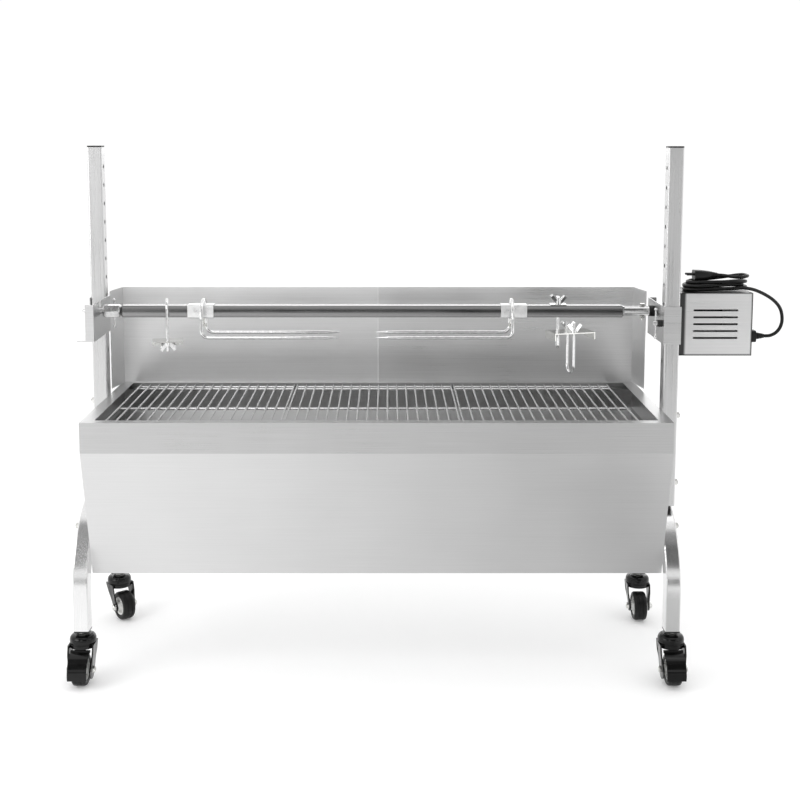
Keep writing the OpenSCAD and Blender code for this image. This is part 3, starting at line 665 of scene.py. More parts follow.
@dataclass
class Studio:
    """The camera, the pale floor and the soft lights of a product set."""

    distance: float = 2.449
    height: float = 1.0787
    side: float = -0.0492
    pitch_down: float = 6.5
    lens: float = 54.0
    shift: tuple[float, float] = (0.015, -0.159)

    def camera(self) -> None:
        """Places the camera in front of the roaster."""
        data = bpy.data.cameras.new("camera")
        data.lens = self.lens
        data.sensor_width = 36.0
        data.shift_x, data.shift_y = self.shift
        eye = bpy.data.objects.new("camera", data)
        eye.location = (self.side, -self.distance + 0.008, self.height)
        eye.rotation_euler = (math.radians(90 - self.pitch_down), 0, 0)
        bpy.context.scene.collection.objects.link(eye)
        bpy.context.scene.camera = eye

    def card(self, name: str, size: tuple[float, float], place: Point, turned: Point,
             glow: Glow, seen: bool = False) -> None:
        """Adds a flat card that glows, brighter or dimmer along its width.

        Only mirrors see a card, unless it is part of the set that the camera sees.

        Args:
            name: The card's name.
            size: Its width and height.
            place: Its middle.
            turned: Its rotation in degrees.
            glow: Share of the width from its left end, with the glow there.
            seen: True if the camera sees it.
        """
        bm = bmesh.new()
        plate(bm, [(-size[0] / 2, -size[1] / 2), (size[0] / 2, -size[1] / 2),
                   (size[0] / 2, size[1] / 2), (-size[0] / 2, size[1] / 2)], 1 * MM, Matrix.Identity(4))
        mesh = bpy.data.meshes.new(name)
        bm.to_mesh(mesh)
        bm.free()
        card = bpy.data.objects.new(name, mesh)
        bpy.context.scene.collection.objects.link(card)
        card.location = place
        card.rotation_euler = [math.radians(a) for a in turned]
        material, tree, shader = new_material(name + "_paint")
        shader.inputs["Base Color"].default_value = linear("#f6f6f6" if seen else "#101010")
        shader.inputs["Roughness"].default_value = 0.9
        shader.inputs["Emission Color"].default_value = (1, 1, 1, 1)
        along = add_node(tree, "ShaderNodeSeparateXYZ", {
            "Vector": add_node(tree, "ShaderNodeTexCoord").outputs["Generated"]})
        ramp = add_node(tree, "ShaderNodeValToRGB", {"Fac": along.outputs["X"]})
        stops = ramp.color_ramp.elements
        while len(stops) < len(glow):
            stops.new(1.0)
        top = max(level for _, level in glow)
        for stop, (at, level) in zip(stops, glow):
            stop.position = at
            stop.color = (level / top, level / top, level / top, 1)
        strength = add_node(tree, "ShaderNodeMath", {0: ramp.outputs["Color"], 1: top}, operation="MULTIPLY")
        tree.links.new(strength.outputs["Value"], shader.inputs["Emission Strength"])
        mesh.materials.append(material)
        card.visible_camera = seen
        card.visible_diffuse = seen
        card.visible_shadow = seen

    def lamp(self, name: str, power: float, size: float, place: Point, target: Point) -> None:
        """Adds a soft square lamp that looks at a point.

        Args:
            name: The lamp's name.
            power: Its power in watts.
            size: Its width.
            place: Where it hangs.
            target: The point it looks at.
        """
        data = bpy.data.lights.new(name, "AREA")
        data.energy = power
        data.size = size
        lamp = bpy.data.objects.new(name, data)
        lamp.location = place
        way = Vector(target) - Vector(place)
        lamp.rotation_euler = way.to_track_quat("-Z", "Y").to_euler()
        bpy.context.scene.collection.objects.link(lamp)

    def light(self) -> None:
        """Lights the set: a white surround, cards that the metal mirrors, and soft lamps."""
        world = bpy.data.worlds.new("surround")
        world.use_nodes = True
        world.node_tree.nodes["Background"].inputs["Color"].default_value = (1, 1, 1, 1)
        world.node_tree.nodes["Background"].inputs["Strength"].default_value = 1.02
        bpy.context.scene.world = world
        bpy.context.scene.view_settings.view_transform = "Standard"
        flat, upright = (0, 0, 0), (90, 0, 0)
        self.card("floor", (14, 14), (0, 0, -0.0006), flat, ((0.0, 0.16), (1.0, 0.1)), seen=True)
        # Before the trough: what its sloping panel mirrors, bright on the left.
        self.card("card_near", (4.0, 1.5), (0, -0.95, 0.004), flat,
                  ((0.0, 1.15), (0.35, 1.1), (0.64, 0.5), (0.66, 0.62), (0.7, 1.0)))
        # Behind the camera: what the guard and the band mirror, brighter on the left.
        self.card("card_low", (3.8, 2.2), (-0.15, -3.75, 0.002), flat,
                  ((0.0, 1.7), (0.45, 1.35), (0.56, 1.1), (0.9, 0.22)))
        # The rod's front mirrors this one: dark but for its left end.
        self.card("card_upright", (4.6, 0.5), (-0.1, -3.95, 0.25), upright,
                  ((0.0, 0.5), (0.2, 0.42), (0.32, 0.12), (1.0, 0.06)))
        # Above the posts' tops: dark, for the legs' bends and the round bars, with a bright gap
        # that lights the trough's inside at the left.
        self.card("dark_flat", (5.2, 3.2), (0.0, -3.3, 2.8), upright,
                  ((0.0, 0.1), (0.235, 0.1), (0.26, 2.2), (0.37, 2.2), (0.46, 0.14), (1.0, 0.06)))
        # Overhead in front: the legs' arches mirror it.
        self.card("dark_over", (5.2, 2.6), (0.0, -1.85, 3.9), flat, ((0.0, 0.3), (1.0, 0.22)))
        # Low on the right: lights the right post and the motor's case.
        self.card("card_right", (1.6, 2.2), (2.8, -3.9, 0.003), flat, ((0.0, 1.9), (1.0, 1.9)))
        # Behind the roaster, for the guard's back.
        self.card("card_behind", (5.0, 2.4), (0, 2.6, 0.003), flat, ((0.0, 0.5), (1.0, 0.62)))
        # Dark wings at both sides edge the tubes, and a strip at the back lights the rounded edges.
        self.card("dark_left", (0.7, 2.2), (-2.4, -1.5, 1.3), (90, 0, 60), ((0.0, 0.04), (1.0, 0.04)))
        self.card("dark_right", (0.7, 2.2), (2.3, -1.7, 1.3), (90, 0, -55), ((0.0, 0.04), (1.0, 0.04)))
        self.card("strip_back", (5.0, 0.45), (0.0, 4.2, 1.38), upright, ((0.0, 3.4), (1.0, 3.4)))
        self.lamp("lamp_above", 9, 2.0, (0.2, -0.4, 2.9), (0, 0, 0.5))
        self.lamp("lamp_left", 7, 0.9, (-1.7, -1.0, 1.0), (-0.5, -0.5, 0.1))
        self.lamp("lamp_right", 2, 1.0, (2.6, -1.2, 1.6), (0.2, 0, 0.6))


# ---- Cord ----


@dataclass
class PowerLead:
    """The motor's power lead: from its connector in an arc onto the case, then bundled in turns.

    Attributes:
        finishes: The palette.
        diameter: The lead's thickness.
        outer: Radius of the bundle's outer folds.
        inner: Radius of its inner folds.
        half_run: Half the length of its straight runs.
        rise: How much higher the bundle lies at its right end.
        top_rise: How much more its top turn rises there.
    """

    finishes: Finishes
    diameter: float = 7 * MM
    outer: float = 28 * MM
    inner: float = 21 * MM
    half_run: float = 34 * MM
    rise: float = 5 * MM
    top_rise: float = 7 * MM

    # The route from the connector's outer end, in millimetres, as the CAD model has it.
    ROUTE = ((-3, 0, 0), (6, 0, 0), (14, 0, 1), (24, 0, 6), (32, 0, 15), (36, -1, 27), (36, -2, 40),
             (32, -5, 54), (24, -9, 66), (12, -13, 77), (-2, -17, 86), (-16, -21, 93), (-30, -25, 98.5),
             (-45, -29, 102), (-58, -32, 103.6))

    def exit(self) -> Vector:
        """Finds where the lead leaves its connector.

        Returns:
            The point on the connector's outer end.
        """
        low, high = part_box("cord_connector")
        return Vector((high.x, (low.y + high.y) / 2, (low.z + high.z) / 2))

    def run(self, way: int, y: tuple[float, float], z: tuple[float, float], end: float = 0.0) -> list[Vector]:
        """Points of one straight run, which may drift sideways or up.

        Args:
            way: -1 for a run to the left, or 1 for one to the right.
            y: Where it starts and ends, front to back.
            z: Its height at its start and its end.
            end: How far it runs on past the fold's middle.

        Returns:
            Points relative to the bundle's middle.
        """
        points = []
        for k in range(8):
            t = k / 8
            ease = t * t * (3 - 2 * t)
            points.append(Vector((way * (-self.half_run + (2 * self.half_run + end) * t),
                                  y[0] + (y[1] - y[0]) * ease, z[0] + (z[1] - z[0]) * ease)))
        return points

    def bend(self, way: int, radius: float, z: tuple[float, float],
             middle_at: tuple[float, float] = (0, 0)) -> list[Vector]:
        """Points of the fold at one end of the bundle, where the lead turns back.

        Args:
            way: -1 for the left end, or 1 for the right end.
            radius: The fold's radius.
            z: Its height at its start and its end.
            middle_at: How far the fold's middle lies from its usual place.

        Returns:
            Points relative to the bundle's middle.
        """
        points = []
        for k in range(12):
            t = k / 12
            a = math.radians(-90 - 180 * t if way < 0 else 90 - 180 * t)
            points.append(Vector((way * self.half_run + middle_at[0] + radius * math.cos(a),
                                  middle_at[1] + radius * math.sin(a), z[0] + (z[1] - z[0]) * t)))
        return points

    def turns(self, plug_end: Vector) -> list[Vector]:
        """The bundle's four turns and the last strand to the plug.

        Args:
            plug_end: Where the lead enters the plug's sleeve.

        Returns:
            Points of the lead's centreline.
        """
        o, i, d = self.outer, self.inner, self.diameter
        rel = self.run(-1, (-o, -o), (0, 0)) + self.bend(-1, o, (0, 0)) + self.run(1, (o, o), (0, 0))
        rel += self.bend(1, o, (0, 0)) + self.run(-1, (-o, -i), (0, 0)) + self.bend(-1, i, (0, 0))
        rel += self.run(1, (i, i), (0, d)) + self.bend(1, i, (d, d)) + self.run(-1, (-i, -o), (d, d))
        rel += self.bend(-1, o, (d, d)) + self.run(1, (o, o), (d, d)) + self.bend(1, o, (d, 2 * d))
        count = len(rel)
        rel += self.run(-1, (-o, -i), (2 * d, 2 * d)) + self.bend(-1, i, (2 * d, 2 * d))
        reach = 13 * MM
        rel += self.run(1, (i, o), (2 * d, 2 * d), reach) + self.bend(1, i, (2 * d, 2 * d), (reach, o - i))
        low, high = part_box("cord_hank")
        centre = Vector(((low.x + high.x) / 2, (low.y + high.y) / 2, low.z + d / 2))
        points = []
        for n, p in enumerate(rel):
            share = min(1.0, max(0.0, (p.x + self.half_run + o) / (2 * (self.half_run + o))))
            lift = self.rise * share
            if n > count + 16:
                lift += self.top_rise * share * share
            points.append(centre + p + Vector((0, 0, lift)))
        here = centre + Vector((self.half_run + reach, o - 2 * i, points[-1].z - centre.z))
        for k in range(6):
            t = k / 5
            ease = t * t * (3 - 2 * t)
            points.append(Vector((here.x + (plug_end.x - here.x) * t, here.y + (plug_end.y - here.y) * ease,
                                  here.z + (plug_end.z - here.z) * ease)))
        points.append(plug_end - Vector((8 * MM, 0, 0)))
        return points

    def build(self, plug_end: Vector) -> None:
        """Args:
            plug_end: Where the lead enters the plug's sleeve.
        """
        start = self.exit()
        points = [start + Vector(p) * MM for p in self.ROUTE] + self.turns(plug_end)
        smooth = smooth_path(points, 2.0 * MM)
        bm = bmesh.new()
        sweep(bm, smooth, [self.diameter / 2] * len(smooth), 16)
        lead = add_piece("power_lead", bm, self.finishes.cord, "carriage_right",
                         ("power_cord", "cord_hank"), sharp=60)


def smooth_path(points: list[Vector], step: float) -> list[Vector]:
    """Runs a smooth curve through points and spaces it evenly.

    Args:
        points: The points to pass through.
        step: Distance between the returned points.

    Returns:
        Points along the curve.
    """
    fine = []
    for i in range(len(points) - 1):
        a, b, c, d = (points[max(i - 1, 0)], points[i], points[i + 1], points[min(i + 2, len(points) - 1)])
        for k in range(12):
            t = k / 12
            fine.append(0.5 * ((2 * b) + (c - a) * t + (2 * a - 5 * b + 4 * c - d) * t * t
                               + (3 * b - a - 3 * c + d) * t ** 3))
    fine.append(points[-1])
    out, carried = [fine[0]], 0.0
    for a, b in zip(fine, fine[1:]):
        length = (b - a).length
        while length > 1e-12 and carried + length >= step:
            a = a + (b - a) * ((step - carried) / length)
            length = (b - a).length
            out.append(a)
            carried = 0.0
        carried += length
    if (out[-1] - fine[-1]).length > step / 4:
        out.append(fine[-1])
    return out


@dataclass
class LeadEnds:
    """The moulded connector in the case's side and the mains plug on the bundle."""

    finishes: Finishes

    def connector(self) -> None:
        """Builds the connector: a rounded block and a ribbed, tapered sleeve."""
        low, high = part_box("cord_connector")
        size = high - low
        mid = (low + high) / 2
        bm = bmesh.new()
        to_x = Matrix.Rotation(math.pi / 2, 4, "Y")
        plate(bm, round_box(size.z, size.y, 6 * MM), 20 * MM,
              Matrix.Translation((low.x + 10.5 * MM, mid.y, mid.z)) @ to_x)
        profile = [(0, 19 * MM), (7.4 * MM, 19 * MM), (7.4 * MM, 23 * MM), (6.2 * MM, 24 * MM),
                   *ribbed((25 * MM, 6.9 * MM, 1.0 * MM), 3.2 * MM, 0.6 * MM, (1.8 * MM, 2.1 * MM, 2.9 * MM)),
                   (4.5 * MM, size.x), (0, size.x)]
        turn(bm, profile, Matrix.Translation((low.x, mid.y, mid.z)) @ to_x)
        add_piece("lead_connector", bm, self.finishes.plug, "carriage_right",
                  ("cord_connector",), bevel=0.8 * MM, sharp=40)

    def plug(self) -> Vector:
        """Builds the plug with its two pins and its sleeve.

        Returns:
            Where the lead enters the sleeve.
        """
        low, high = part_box("cord_plug")
        mid = (low + high) / 2
        to_x = Matrix.Rotation(math.pi / 2, 4, "Y")
        pins, sleeve = 16 * MM, 16 * MM
        body_len = high.x - low.x - pins - sleeve
        axis = Vector((low.x, mid.y, low.z + 10 * MM))
        bm = bmesh.new()
        rings = []
        for k in range(11):
            t = k / 10
            tall = (20.5 - 5.5 * t * t) * MM
            wide = (27.0 - 8.0 * t * t) * MM
            x = low.x + pins + body_len * t
            rings.append([bm.verts.new(Vector((x, mid.y + y, low.z + 10.25 * MM + z)))
                          for z, y in round_box(tall, wide, 6 * MM)])
        loft(bm, rings)
        profile = [(0, 0), (7.6 * MM, 0),
                   *ribbed((1 * MM, 7.4 * MM, 1.3 * MM), 3.6 * MM, 0.75 * MM, (2 * MM, 2.4 * MM, 3.2 * MM)),
                   (4.4 * MM, sleeve), (0, sleeve)]
        turn(bm, profile, Matrix.Translation((low.x + pins + body_len, axis.y, axis.z)) @ to_x)
        plug = add_piece("mains_plug", bm, self.finishes.plug, "carriage_right",
                         ("cord_plug",), bevel=1.2 * MM, sharp=40)
        bm = bmesh.new()
        for y in (-7 * MM, 7 * MM):
            turn(bm, [(0, 0), (1.6 * MM, 0.4 * MM), (2.2 * MM, 1.6 * MM), (2.2 * MM, 17 * MM),
                      (0, 17 * MM)],
                 Matrix.Translation((low.x, mid.y + y, low.z + 12 * MM)) @ to_x, 20)
        pin = add_piece("plug_pins", bm, self.finishes.socket, "carriage_right")
        pin.parent = plug
        return Vector((high.x, axis.y, axis.z))


# ---- Sheet metal ----


@dataclass
class Tub:
    """The rim, trough, grates, guard, posts and legs: CAD shapes with sheet and tube finishes."""

    finishes: Finishes

    def build(self) -> None:
        """Dresses the tub's nodes."""
        f = self.finishes
        dress("rim_frame", f.band)
        dress("tub_trough", f.panel)
        dress("end_panels", f.inside)
        dress("grate_rails", f.inside)
        for side in ("left", "middle", "right"):
            dress(f"grate_{side}", f.wire)
        dress("guard_left", f.guard_left)
        dress("guard_right", f.guard_right)
        for side in ("left", "right"):
            dress(f"post_{side}", f.post)
            dress(f"leg_{side}", f.leg)
        dress("tube_plugs", f.plug_cap)


@dataclass
class Drive:
    """The carriages with their screws, and the motor in its case."""

    finishes: Finishes

    def build(self) -> None:
        """Dresses the carriages and the motor."""
        f = self.finishes
        for side in ("left", "right"):
            dress(f"carriage_{side}", f.case)
            dress(f"lock_bush_{side}", f.plug_cap)
            dress(f"lock_screw_{side}", f.chrome)
        dress("motor_base", f.case)
        dress("motor_cover", f.cover)
        dress("gear_motor", f.motor)
        dress("case_screws", f.zinc)
        dress("drive_socket", f.socket)


# ---- Fasteners ----


@dataclass
class FrameBolts:
    """Hexagon bolts, washers and nuts that hold the posts, legs and guard."""

    finishes: Finishes

    def build(self) -> None:
        """Dresses the bolts."""
        dress("frame_bolts", self.finishes.zinc)
        dress("caster_stems", self.finishes.zinc)


# ---- Spit ----


@dataclass
class Spit:
    """The square rod with its ends.

    Attributes:
        finishes: The palette.
        edge: Radius of the rod's long edges.
        stub: Length of the idle end's stub outside its bush.
    """

    finishes: Finishes
    edge: float = 1.8 * MM
    stub: float = 44 * MM

    def build(self) -> None:
        """Builds the rod with rounded edges, and dresses or builds its ends."""
        low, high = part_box("spit_rod")
        mid = (low + high) / 2
        bm = bmesh.new()
        width = high.z - low.z
        chamfer = 5 * MM
        stations = [(low.x, width - 2 * chamfer), (low.x + chamfer, width),
                    (high.x - chamfer, width), (high.x, width - 2 * chamfer)]
        loft(bm, [[bm.verts.new(Vector((x, mid.y + a, mid.z + b)))
                   for a, b in round_box(w, w, self.edge)] for x, w in stations])
        add_piece("spit_bar", bm, self.finishes.rod, "spit", ("spit_rod",), sharp=12)
        self.idler()
        dress("drive_stub", self.finishes.turned)
        dress("stub_bolt", self.finishes.zinc)

    def idler(self) -> None:
        """Builds the idle end: a hexagon bush with chamfered ends and its pointed stub."""
        low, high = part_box("idler_bush")
        mid = (low + high) / 2
        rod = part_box("spit_rod")[0].x
        bush = low.x + self.stub
        flats, slim, chamfer = high.z - low.z, 5 * MM, 2.5 * MM
        bm = bmesh.new()
        stations = [(bush, flats - slim), (bush + chamfer, flats),
                    (rod - chamfer, flats), (rod, flats - slim)]
        loft(bm, [[bm.verts.new(Vector((x, mid.y + a, mid.z + b))) for a, b in hexagon(w)]
                  for x, w in stations])
        r, stub = 6 * MM, self.stub
        turn(bm, [(0, 0), (1.4 * MM, 0.2 * MM), (r, 9 * MM), (r, 13 * MM), (r - 1 * MM, 14 * MM),
                  (r - 1 * MM, 16 * MM), (r, 17 * MM), (r, stub), (r + 2 * MM, stub), (0, stub + 1 * MM)],
             Matrix.Translation((low.x, mid.y, mid.z)) @ Matrix.Rotation(math.pi / 2, 4, "Y"))
        add_piece("idler_end", bm, self.finishes.turned, "spit", ("idler_bush",),
                  bevel=0.4 * MM, sharp=30)


@dataclass
class Forks:
    """The two meat forks: one bent bar welded over a square sleeve.

    Attributes:
        finishes: The palette.
        radius: Radius of the bar.
        point: Length of a tine's taper.
        bend: Radius of the bend between a tine and its leg.
    """

    finishes: Finishes
    radius: float = 3.4 * MM
    point: float = 26 * MM
    bend: float = 14 * MM

    def build(self) -> None:
        """Builds both forks and dresses their screws."""
        for side in ("left", "right"):
            self.fork(side)
            dress(f"fork_screw_{side}", self.finishes.zinc)

    def fork(self, side: str) -> None:
        """Builds one fork.

        Args:
            side: Left or right.
        """
        low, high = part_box(f"fork_{side}")
        rod_low, rod_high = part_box("spit_rod")
        axis = (rod_low + rod_high) / 2
        way = 1 if side == "left" else -1
        sleeve_len, sleeve_back = 53 * MM, 31 * MM
        back = low.x if side == "left" else high.x
        leg_x = back + way * sleeve_back
        tip_x = high.x if side == "left" else low.x
        spread_y = (high.y - low.y) / 2 - self.radius
        foot_z = low.z + self.radius
        arch_z = high.z - self.radius - spread_y
        half = []
        for k in range(9):
            t = k / 8
            half.append((tip_x - way * self.point * t, foot_z,
                         0.6 * MM + (self.radius - 0.6 * MM) * t ** 0.8))
        half.append(((tip_x + leg_x) / 2, foot_z, self.radius))
        for k in range(9):
            a = math.radians(90 * k / 8)
            half.append((leg_x + way * (self.bend - self.bend * math.sin(a)),
                         foot_z + self.bend - self.bend * math.cos(a), self.radius))
        path = [Vector((x, axis.y - spread_y, z)) for x, z, _ in half]
        radii = [r for _, _, r in half]
        arch = [Vector((leg_x, axis.y - spread_y * math.cos(math.radians(a)),
                        arch_z + spread_y * math.sin(math.radians(a)))) for a in range(0, 181, 10)]
        back_half = [Vector((p.x, 2 * axis.y - p.y, p.z)) for p in reversed(path)]
        whole = path + arch + back_half
        bm = bmesh.new()
        sweep(bm, whole, radii + [self.radius] * len(arch) + radii[::-1], 18)
        add_piece(f"fork_bar_{side}", bm, self.finishes.chrome, f"fork_{side}",
                  (f"fork_{side}",), sharp=60)
        self.sleeve(side, axis, back, way, sleeve_len, leg_x, arch_z + spread_y - self.radius)

    def sleeve(self, side: str, axis: Vector, back: float, way: int, long: float, leg_x: float,
               bar_z: float) -> None:
        """Builds a fork's square sleeve with its weld pad.

        Args:
            side: Left or right.
            axis: A point on the spit's axis.
            back: The sleeve's end away from the tines.
            way: 1 where the tines point along +X, or else -1.
            long: The sleeve's length.
            leg_x: Where the bar crosses over.
            bar_z: Height of the underside of the bar.
        """
        outer, inner = 28 * MM, 24.6 * MM
        bm = bmesh.new()
        rings = []
        for w, x in ((inner, back), (outer, back), (outer, back + way * long), (inner, back + way * long)):
            rings.append([bm.verts.new(Vector((x, axis.y + a, axis.z + b)))
                          for a, b in round_box(w, w, 1.6 * MM if w == inner else 2.8 * MM)])
        rings.append(rings[0])
        loft(bm, rings, capped=False)
        top = axis.z + outer / 2
        turn(bm, [(0, -1 * MM), (7 * MM, -0.5 * MM), (5.5 * MM, 1.5 * MM), (4 * MM, bar_z - top),
                  (5 * MM, bar_z - top + 1.5 * MM), (0, bar_z - top + 2 * MM)],
             Matrix.Translation((leg_x, axis.y, top)), 24)
        add_piece(f"fork_sleeve_{side}", bm, self.finishes.sleeve, f"fork_{side}",
                  bevel=0.3 * MM, sharp=40)


@dataclass
class Clamps:
    """The three leg clamps on the rod: U-bolts with threaded legs, plates and wing nuts."""

    finishes: Finishes

    def build(self) -> None:
        """Dresses the clamps."""
        dress("clamp_u_bolts", self.finishes.chrome)
        dress("clamp_plates", self.finishes.zinc)
        dress("clamp_nuts", self.finishes.chrome)


# ---- Casters ----


@dataclass
class Caster:
    """One swivel caster: a domed yoke, an axle bolt, a hub and a tyre.

    Attributes:
        finishes: The palette.
        corner: The corner it stands at.
        dome_r: Radius of the yoke's dome.
        dome_z: Height of the dome's underside.
        top_z: Height of its top.
        ear_in: Half the gap between the ears.
        ear_t: Thickness of an ear.
        wheel_r: The wheel's radius, and its axle's height.
        trail: How far the axle trails the swivel.
    """

    finishes: Finishes
    corner: str
    dome_r: float = 26 * MM
    dome_z: float = 71 * MM
    top_z: float = 96 * MM
    ear_in: float = 19.5 * MM
    ear_t: float = 3 * MM
    wheel_r: float = 31 * MM
    trail: float = 22 * MM

    def frames(self) -> tuple[Matrix, Matrix]:
        """Finds where the caster stands.

        Returns:
            The yoke's frame on the floor, and the wheel's frame with its Z along the axle.
        """
        swivel = joint(f"caster_{self.corner}_swivel")
        spin = joint(f"wheel_{self.corner}_spin")
        axle = Vector(spin["axis"]).normalized()
        at = Vector(swivel["pos_m"])
        turned = math.atan2(axle.y, axle.x)
        yoke = Matrix.Translation((at.x, at.y, 0)) @ Matrix.Rotation(turned, 4, "Z")
        wheel = Matrix.Translation(Vector(spin["pos_m"])) @ Matrix.Rotation(turned, 4, "Z") @ Matrix.Rotation(
            math.pi / 2, 4, "Y")
        return yoke, wheel

    def build(self) -> None:
        """Builds the caster."""
        yoke, wheel = self.frames()
        self.yoke(yoke)
        self.axle(yoke)
        self.wheel(wheel)

    def yoke(self, where: Matrix) -> None:
        """Builds the pressed yoke: a ribbed dome and two ears that lean in to the axle.

        Args:
            where: The yoke's frame.
        """
        bm = bmesh.new()
        r, z0, z1 = self.dome_r, self.dome_z, self.top_z
        profile = [(5.1 * MM, z1), (14 * MM, z1), (15 * MM, z1 - 0.9 * MM), (16.5 * MM, z1 - 0.7 * MM),
                   (21 * MM, z1 - 1.9 * MM), (23.8 * MM, z1 - 3.8 * MM), (25.3 * MM, z1 - 6.5 * MM),
                   (r, z1 - 9.5 * MM), (r, z1 - 15 * MM), (r - 1 * MM, z1 - 15.8 * MM),
                   (r - 1 * MM, z1 - 17.4 * MM), (r, z1 - 18.2 * MM), (r, z0 + 0.6 * MM), (r - 0.6 * MM, z0),
                   (r - 3 * MM, z0), (r - 3 * MM, z0 + 10 * MM), (r - 8 * MM, z0 + 16 * MM),
                   (5.1 * MM, z0 + 16 * MM), (5.1 * MM, z1)]
        turn(bm, profile, where, 56)
        lean = 3.2 * MM
        low, high = self.wheel_r, self.dome_z + 8 * MM
        eye = (18.5 if self.corner.startswith("front") else 11) * MM
        lip = 21.5 * MM if self.corner.startswith("front") else 18 * MM
        for side in (-1, 1):
            rows = []
            for k in range(11):
                t = k / 10
                z = low + (high - low) * t
                front = -self.trail - eye + (self.trail + eye - lip) * t ** 0.8
                back = -self.trail + eye + (self.trail - eye + 16 * MM) * t ** 1.3
                rows.append((z, front, back))
            foot = [(low + eye * math.sin(math.radians(a)), -self.trail + eye * math.cos(math.radians(a)))
                    for a in range(180, 361, 15)]
            outline = [(z, f) for z, f, _ in reversed(rows)] + foot + [(z, b) for z, _, b in rows]
            rings = []
            for shift in (-self.ear_t / 2, self.ear_t / 2):
                ring = []
                for z, y in outline:
                    t = max(0.0, (z - low) / (high - low))
                    out = self.ear_in + self.ear_t / 2 + lean * min(1.0, 1.6 * t) ** 1.5
                    ring.append(bm.verts.new(where @ Vector((side * (out + shift), y, z))))
                rings.append(ring)
            loft(bm, rings)
        bmesh.ops.triangulate(bm, faces=[f for f in bm.faces if len(f.verts) > 8])
        add_piece(f"yoke_{self.corner}", bm, self.finishes.enamel, f"caster_{self.corner}",
                  (f"caster_fork_{self.corner}",), bevel=0.5 * MM, sharp=35)

    def axle(self, where: Matrix) -> None:
        """Builds the axle bolt with a hexagon head, a lock nut and its thread's end.

        Args:
            where: The yoke's frame.
        """
        bm = bmesh.new()
        at = where @ Matrix.Translation((0, -self.trail, self.wheel_r)) @ Matrix.Rotation(math.pi / 2, 4, "Y")
        side = self.ear_in + self.ear_t
        turn(bm, [(0, -side), (4 * MM, -side), *threaded(side, side + 7 * MM, 4 * MM, 1.1 * MM),
                  (3 * MM, side + 7.2 * MM), (0, side + 7.2 * MM)], at, 24)
        for z, way in ((-side - 2.6 * MM, -1), (side + 2.9 * MM, 1)):
            plate(bm, hexagon(12.6 * MM), 4.4 * MM, at @ Matrix.Translation((0, 0, z)))
            turn(bm, [(0, 0), (5.4 * MM, 0), (3.8 * MM, 1.6 * MM), (0, 1.8 * MM)],
                 at @ Matrix.Translation((0, 0, z + way * 2.2 * MM)) @ Matrix.Rotation(
                     0 if way > 0 else math.pi, 4, "X"), 24)
        for z in (-side - 0.4 * MM, side + 0.4 * MM):
            turn(bm, [(0, -0.4 * MM), (7.4 * MM, -0.4 * MM), (7.4 * MM, 0.4 * MM), (0, 0.4 * MM)],
                 at @ Matrix.Translation((0, 0, z)), 32)
        add_piece(f"axle_bolt_{self.corner}", bm, self.finishes.zinc, f"caster_{self.corner}",
                  (f"caster_axle_{self.corner}",), bevel=0.5 * MM, sharp=35)

    def wheel(self, where: Matrix) -> None:
        """Builds the tyre with its crown and grooves, and the ribbed hub.

        Args:
            where: The wheel's frame.
        """
        r, w = self.wheel_r, 14 * MM
        bm = bmesh.new()
        side = arc((r - 5 * MM, w - 5 * MM), 5 * MM, 90, 0, 6)
        mirror = [(x, -z) for x, z in reversed(side)]
        groove = [(r, 5.2 * MM), (r - 0.9 * MM, 4.8 * MM), (r - 0.9 * MM, 4.2 * MM), (r, 3.8 * MM),
                  (r, -3.8 * MM), (r - 0.9 * MM, -4.2 * MM), (r - 0.9 * MM, -4.8 * MM), (r, -5.2 * MM)]
        profile = [(20 * MM, 12 * MM), (21.5 * MM, w - 0.6 * MM), (23 * MM, w)] + side + groove + mirror + [
            (23 * MM, -w), (21.5 * MM, -w + 0.6 * MM), (20 * MM, -12 * MM), (20 * MM, 12 * MM)]
        turn(bm, profile, where, 72)
        add_piece(f"tyre_{self.corner}", bm, self.finishes.tyre, f"wheel_{self.corner}",
                  (f"wheel_tyre_{self.corner}",), sharp=40)
        bm = bmesh.new()
        turn(bm, [(4.06 * MM, -18.5 * MM), (8.4 * MM, -18.5 * MM), (9 * MM, -17.6 * MM), (10 * MM, -8 * MM),
                  (16 * MM, -8 * MM), (16.6 * MM, -12 * MM), (19.9 * MM, -12 * MM), (19.9 * MM, 12 * MM),
                  (16.6 * MM, 12 * MM), (16 * MM, 8 * MM), (10 * MM, 8 * MM), (9 * MM, 17.6 * MM),
                  (8.4 * MM, 18.5 * MM), (4.06 * MM, 18.5 * MM), (4.06 * MM, -18.5 * MM)], where, 56)
        for k in range(6):
            spoke = where @ Matrix.Rotation(math.pi * k / 3, 4, "Z") @ Matrix.Translation((12.8 * MM, 0, 0))
            plate(bm, round_box(7.6 * MM, 2.4 * MM, 0.8 * MM), 21 * MM, spoke)
        add_piece(f"hub_{self.corner}", bm, self.finishes.hub, f"wheel_{self.corner}",
                  (f"wheel_hub_{self.corner}",), bevel=0.4 * MM, sharp=35)


@dataclass
class BrakePedal:
    """A front caster's brake pedal: a curved, ribbed plate over the wheel's front."""

    finishes: Finishes
    side: str

    def build(self) -> None:
        """Dresses the pedal."""
        dress(f"brake_pedal_{self.side}", self.finishes.enamel)


def main() -> None:
    """Builds the roaster's looks, sub-assembly by sub-assembly."""
    logging.basicConfig(level=logging.INFO, format="%(name)s: %(message)s")
    studio = Studio()
    studio.camera()
    finishes = Finishes()
    ends = LeadEnds(finishes)
    ends.connector()
    PowerLead(finishes).build(ends.plug())
    studio.light()
    Tub(finishes).build()
    Drive(finishes).build()
    FrameBolts(finishes).build()
    Spit(finishes).build()
    Forks(finishes).build()
    Clamps(finishes).build()
    for corner in CORNERS:
        Caster(finishes, corner).build()
    for side in ("left", "right"):
        BrakePedal(finishes, side).build()


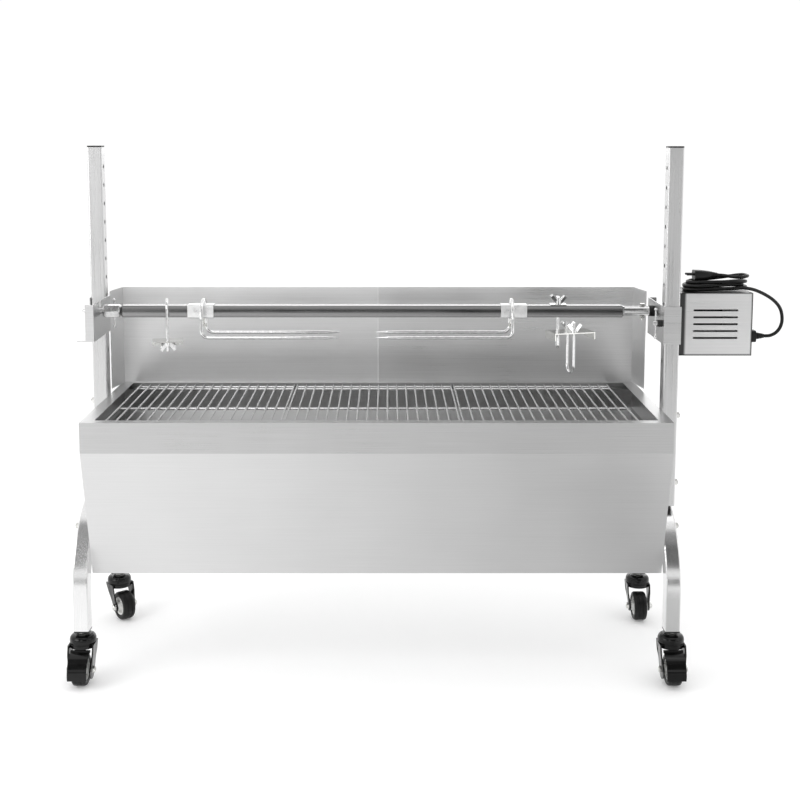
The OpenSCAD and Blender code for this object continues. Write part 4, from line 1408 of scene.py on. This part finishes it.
if __name__ == "__main__":
    main()
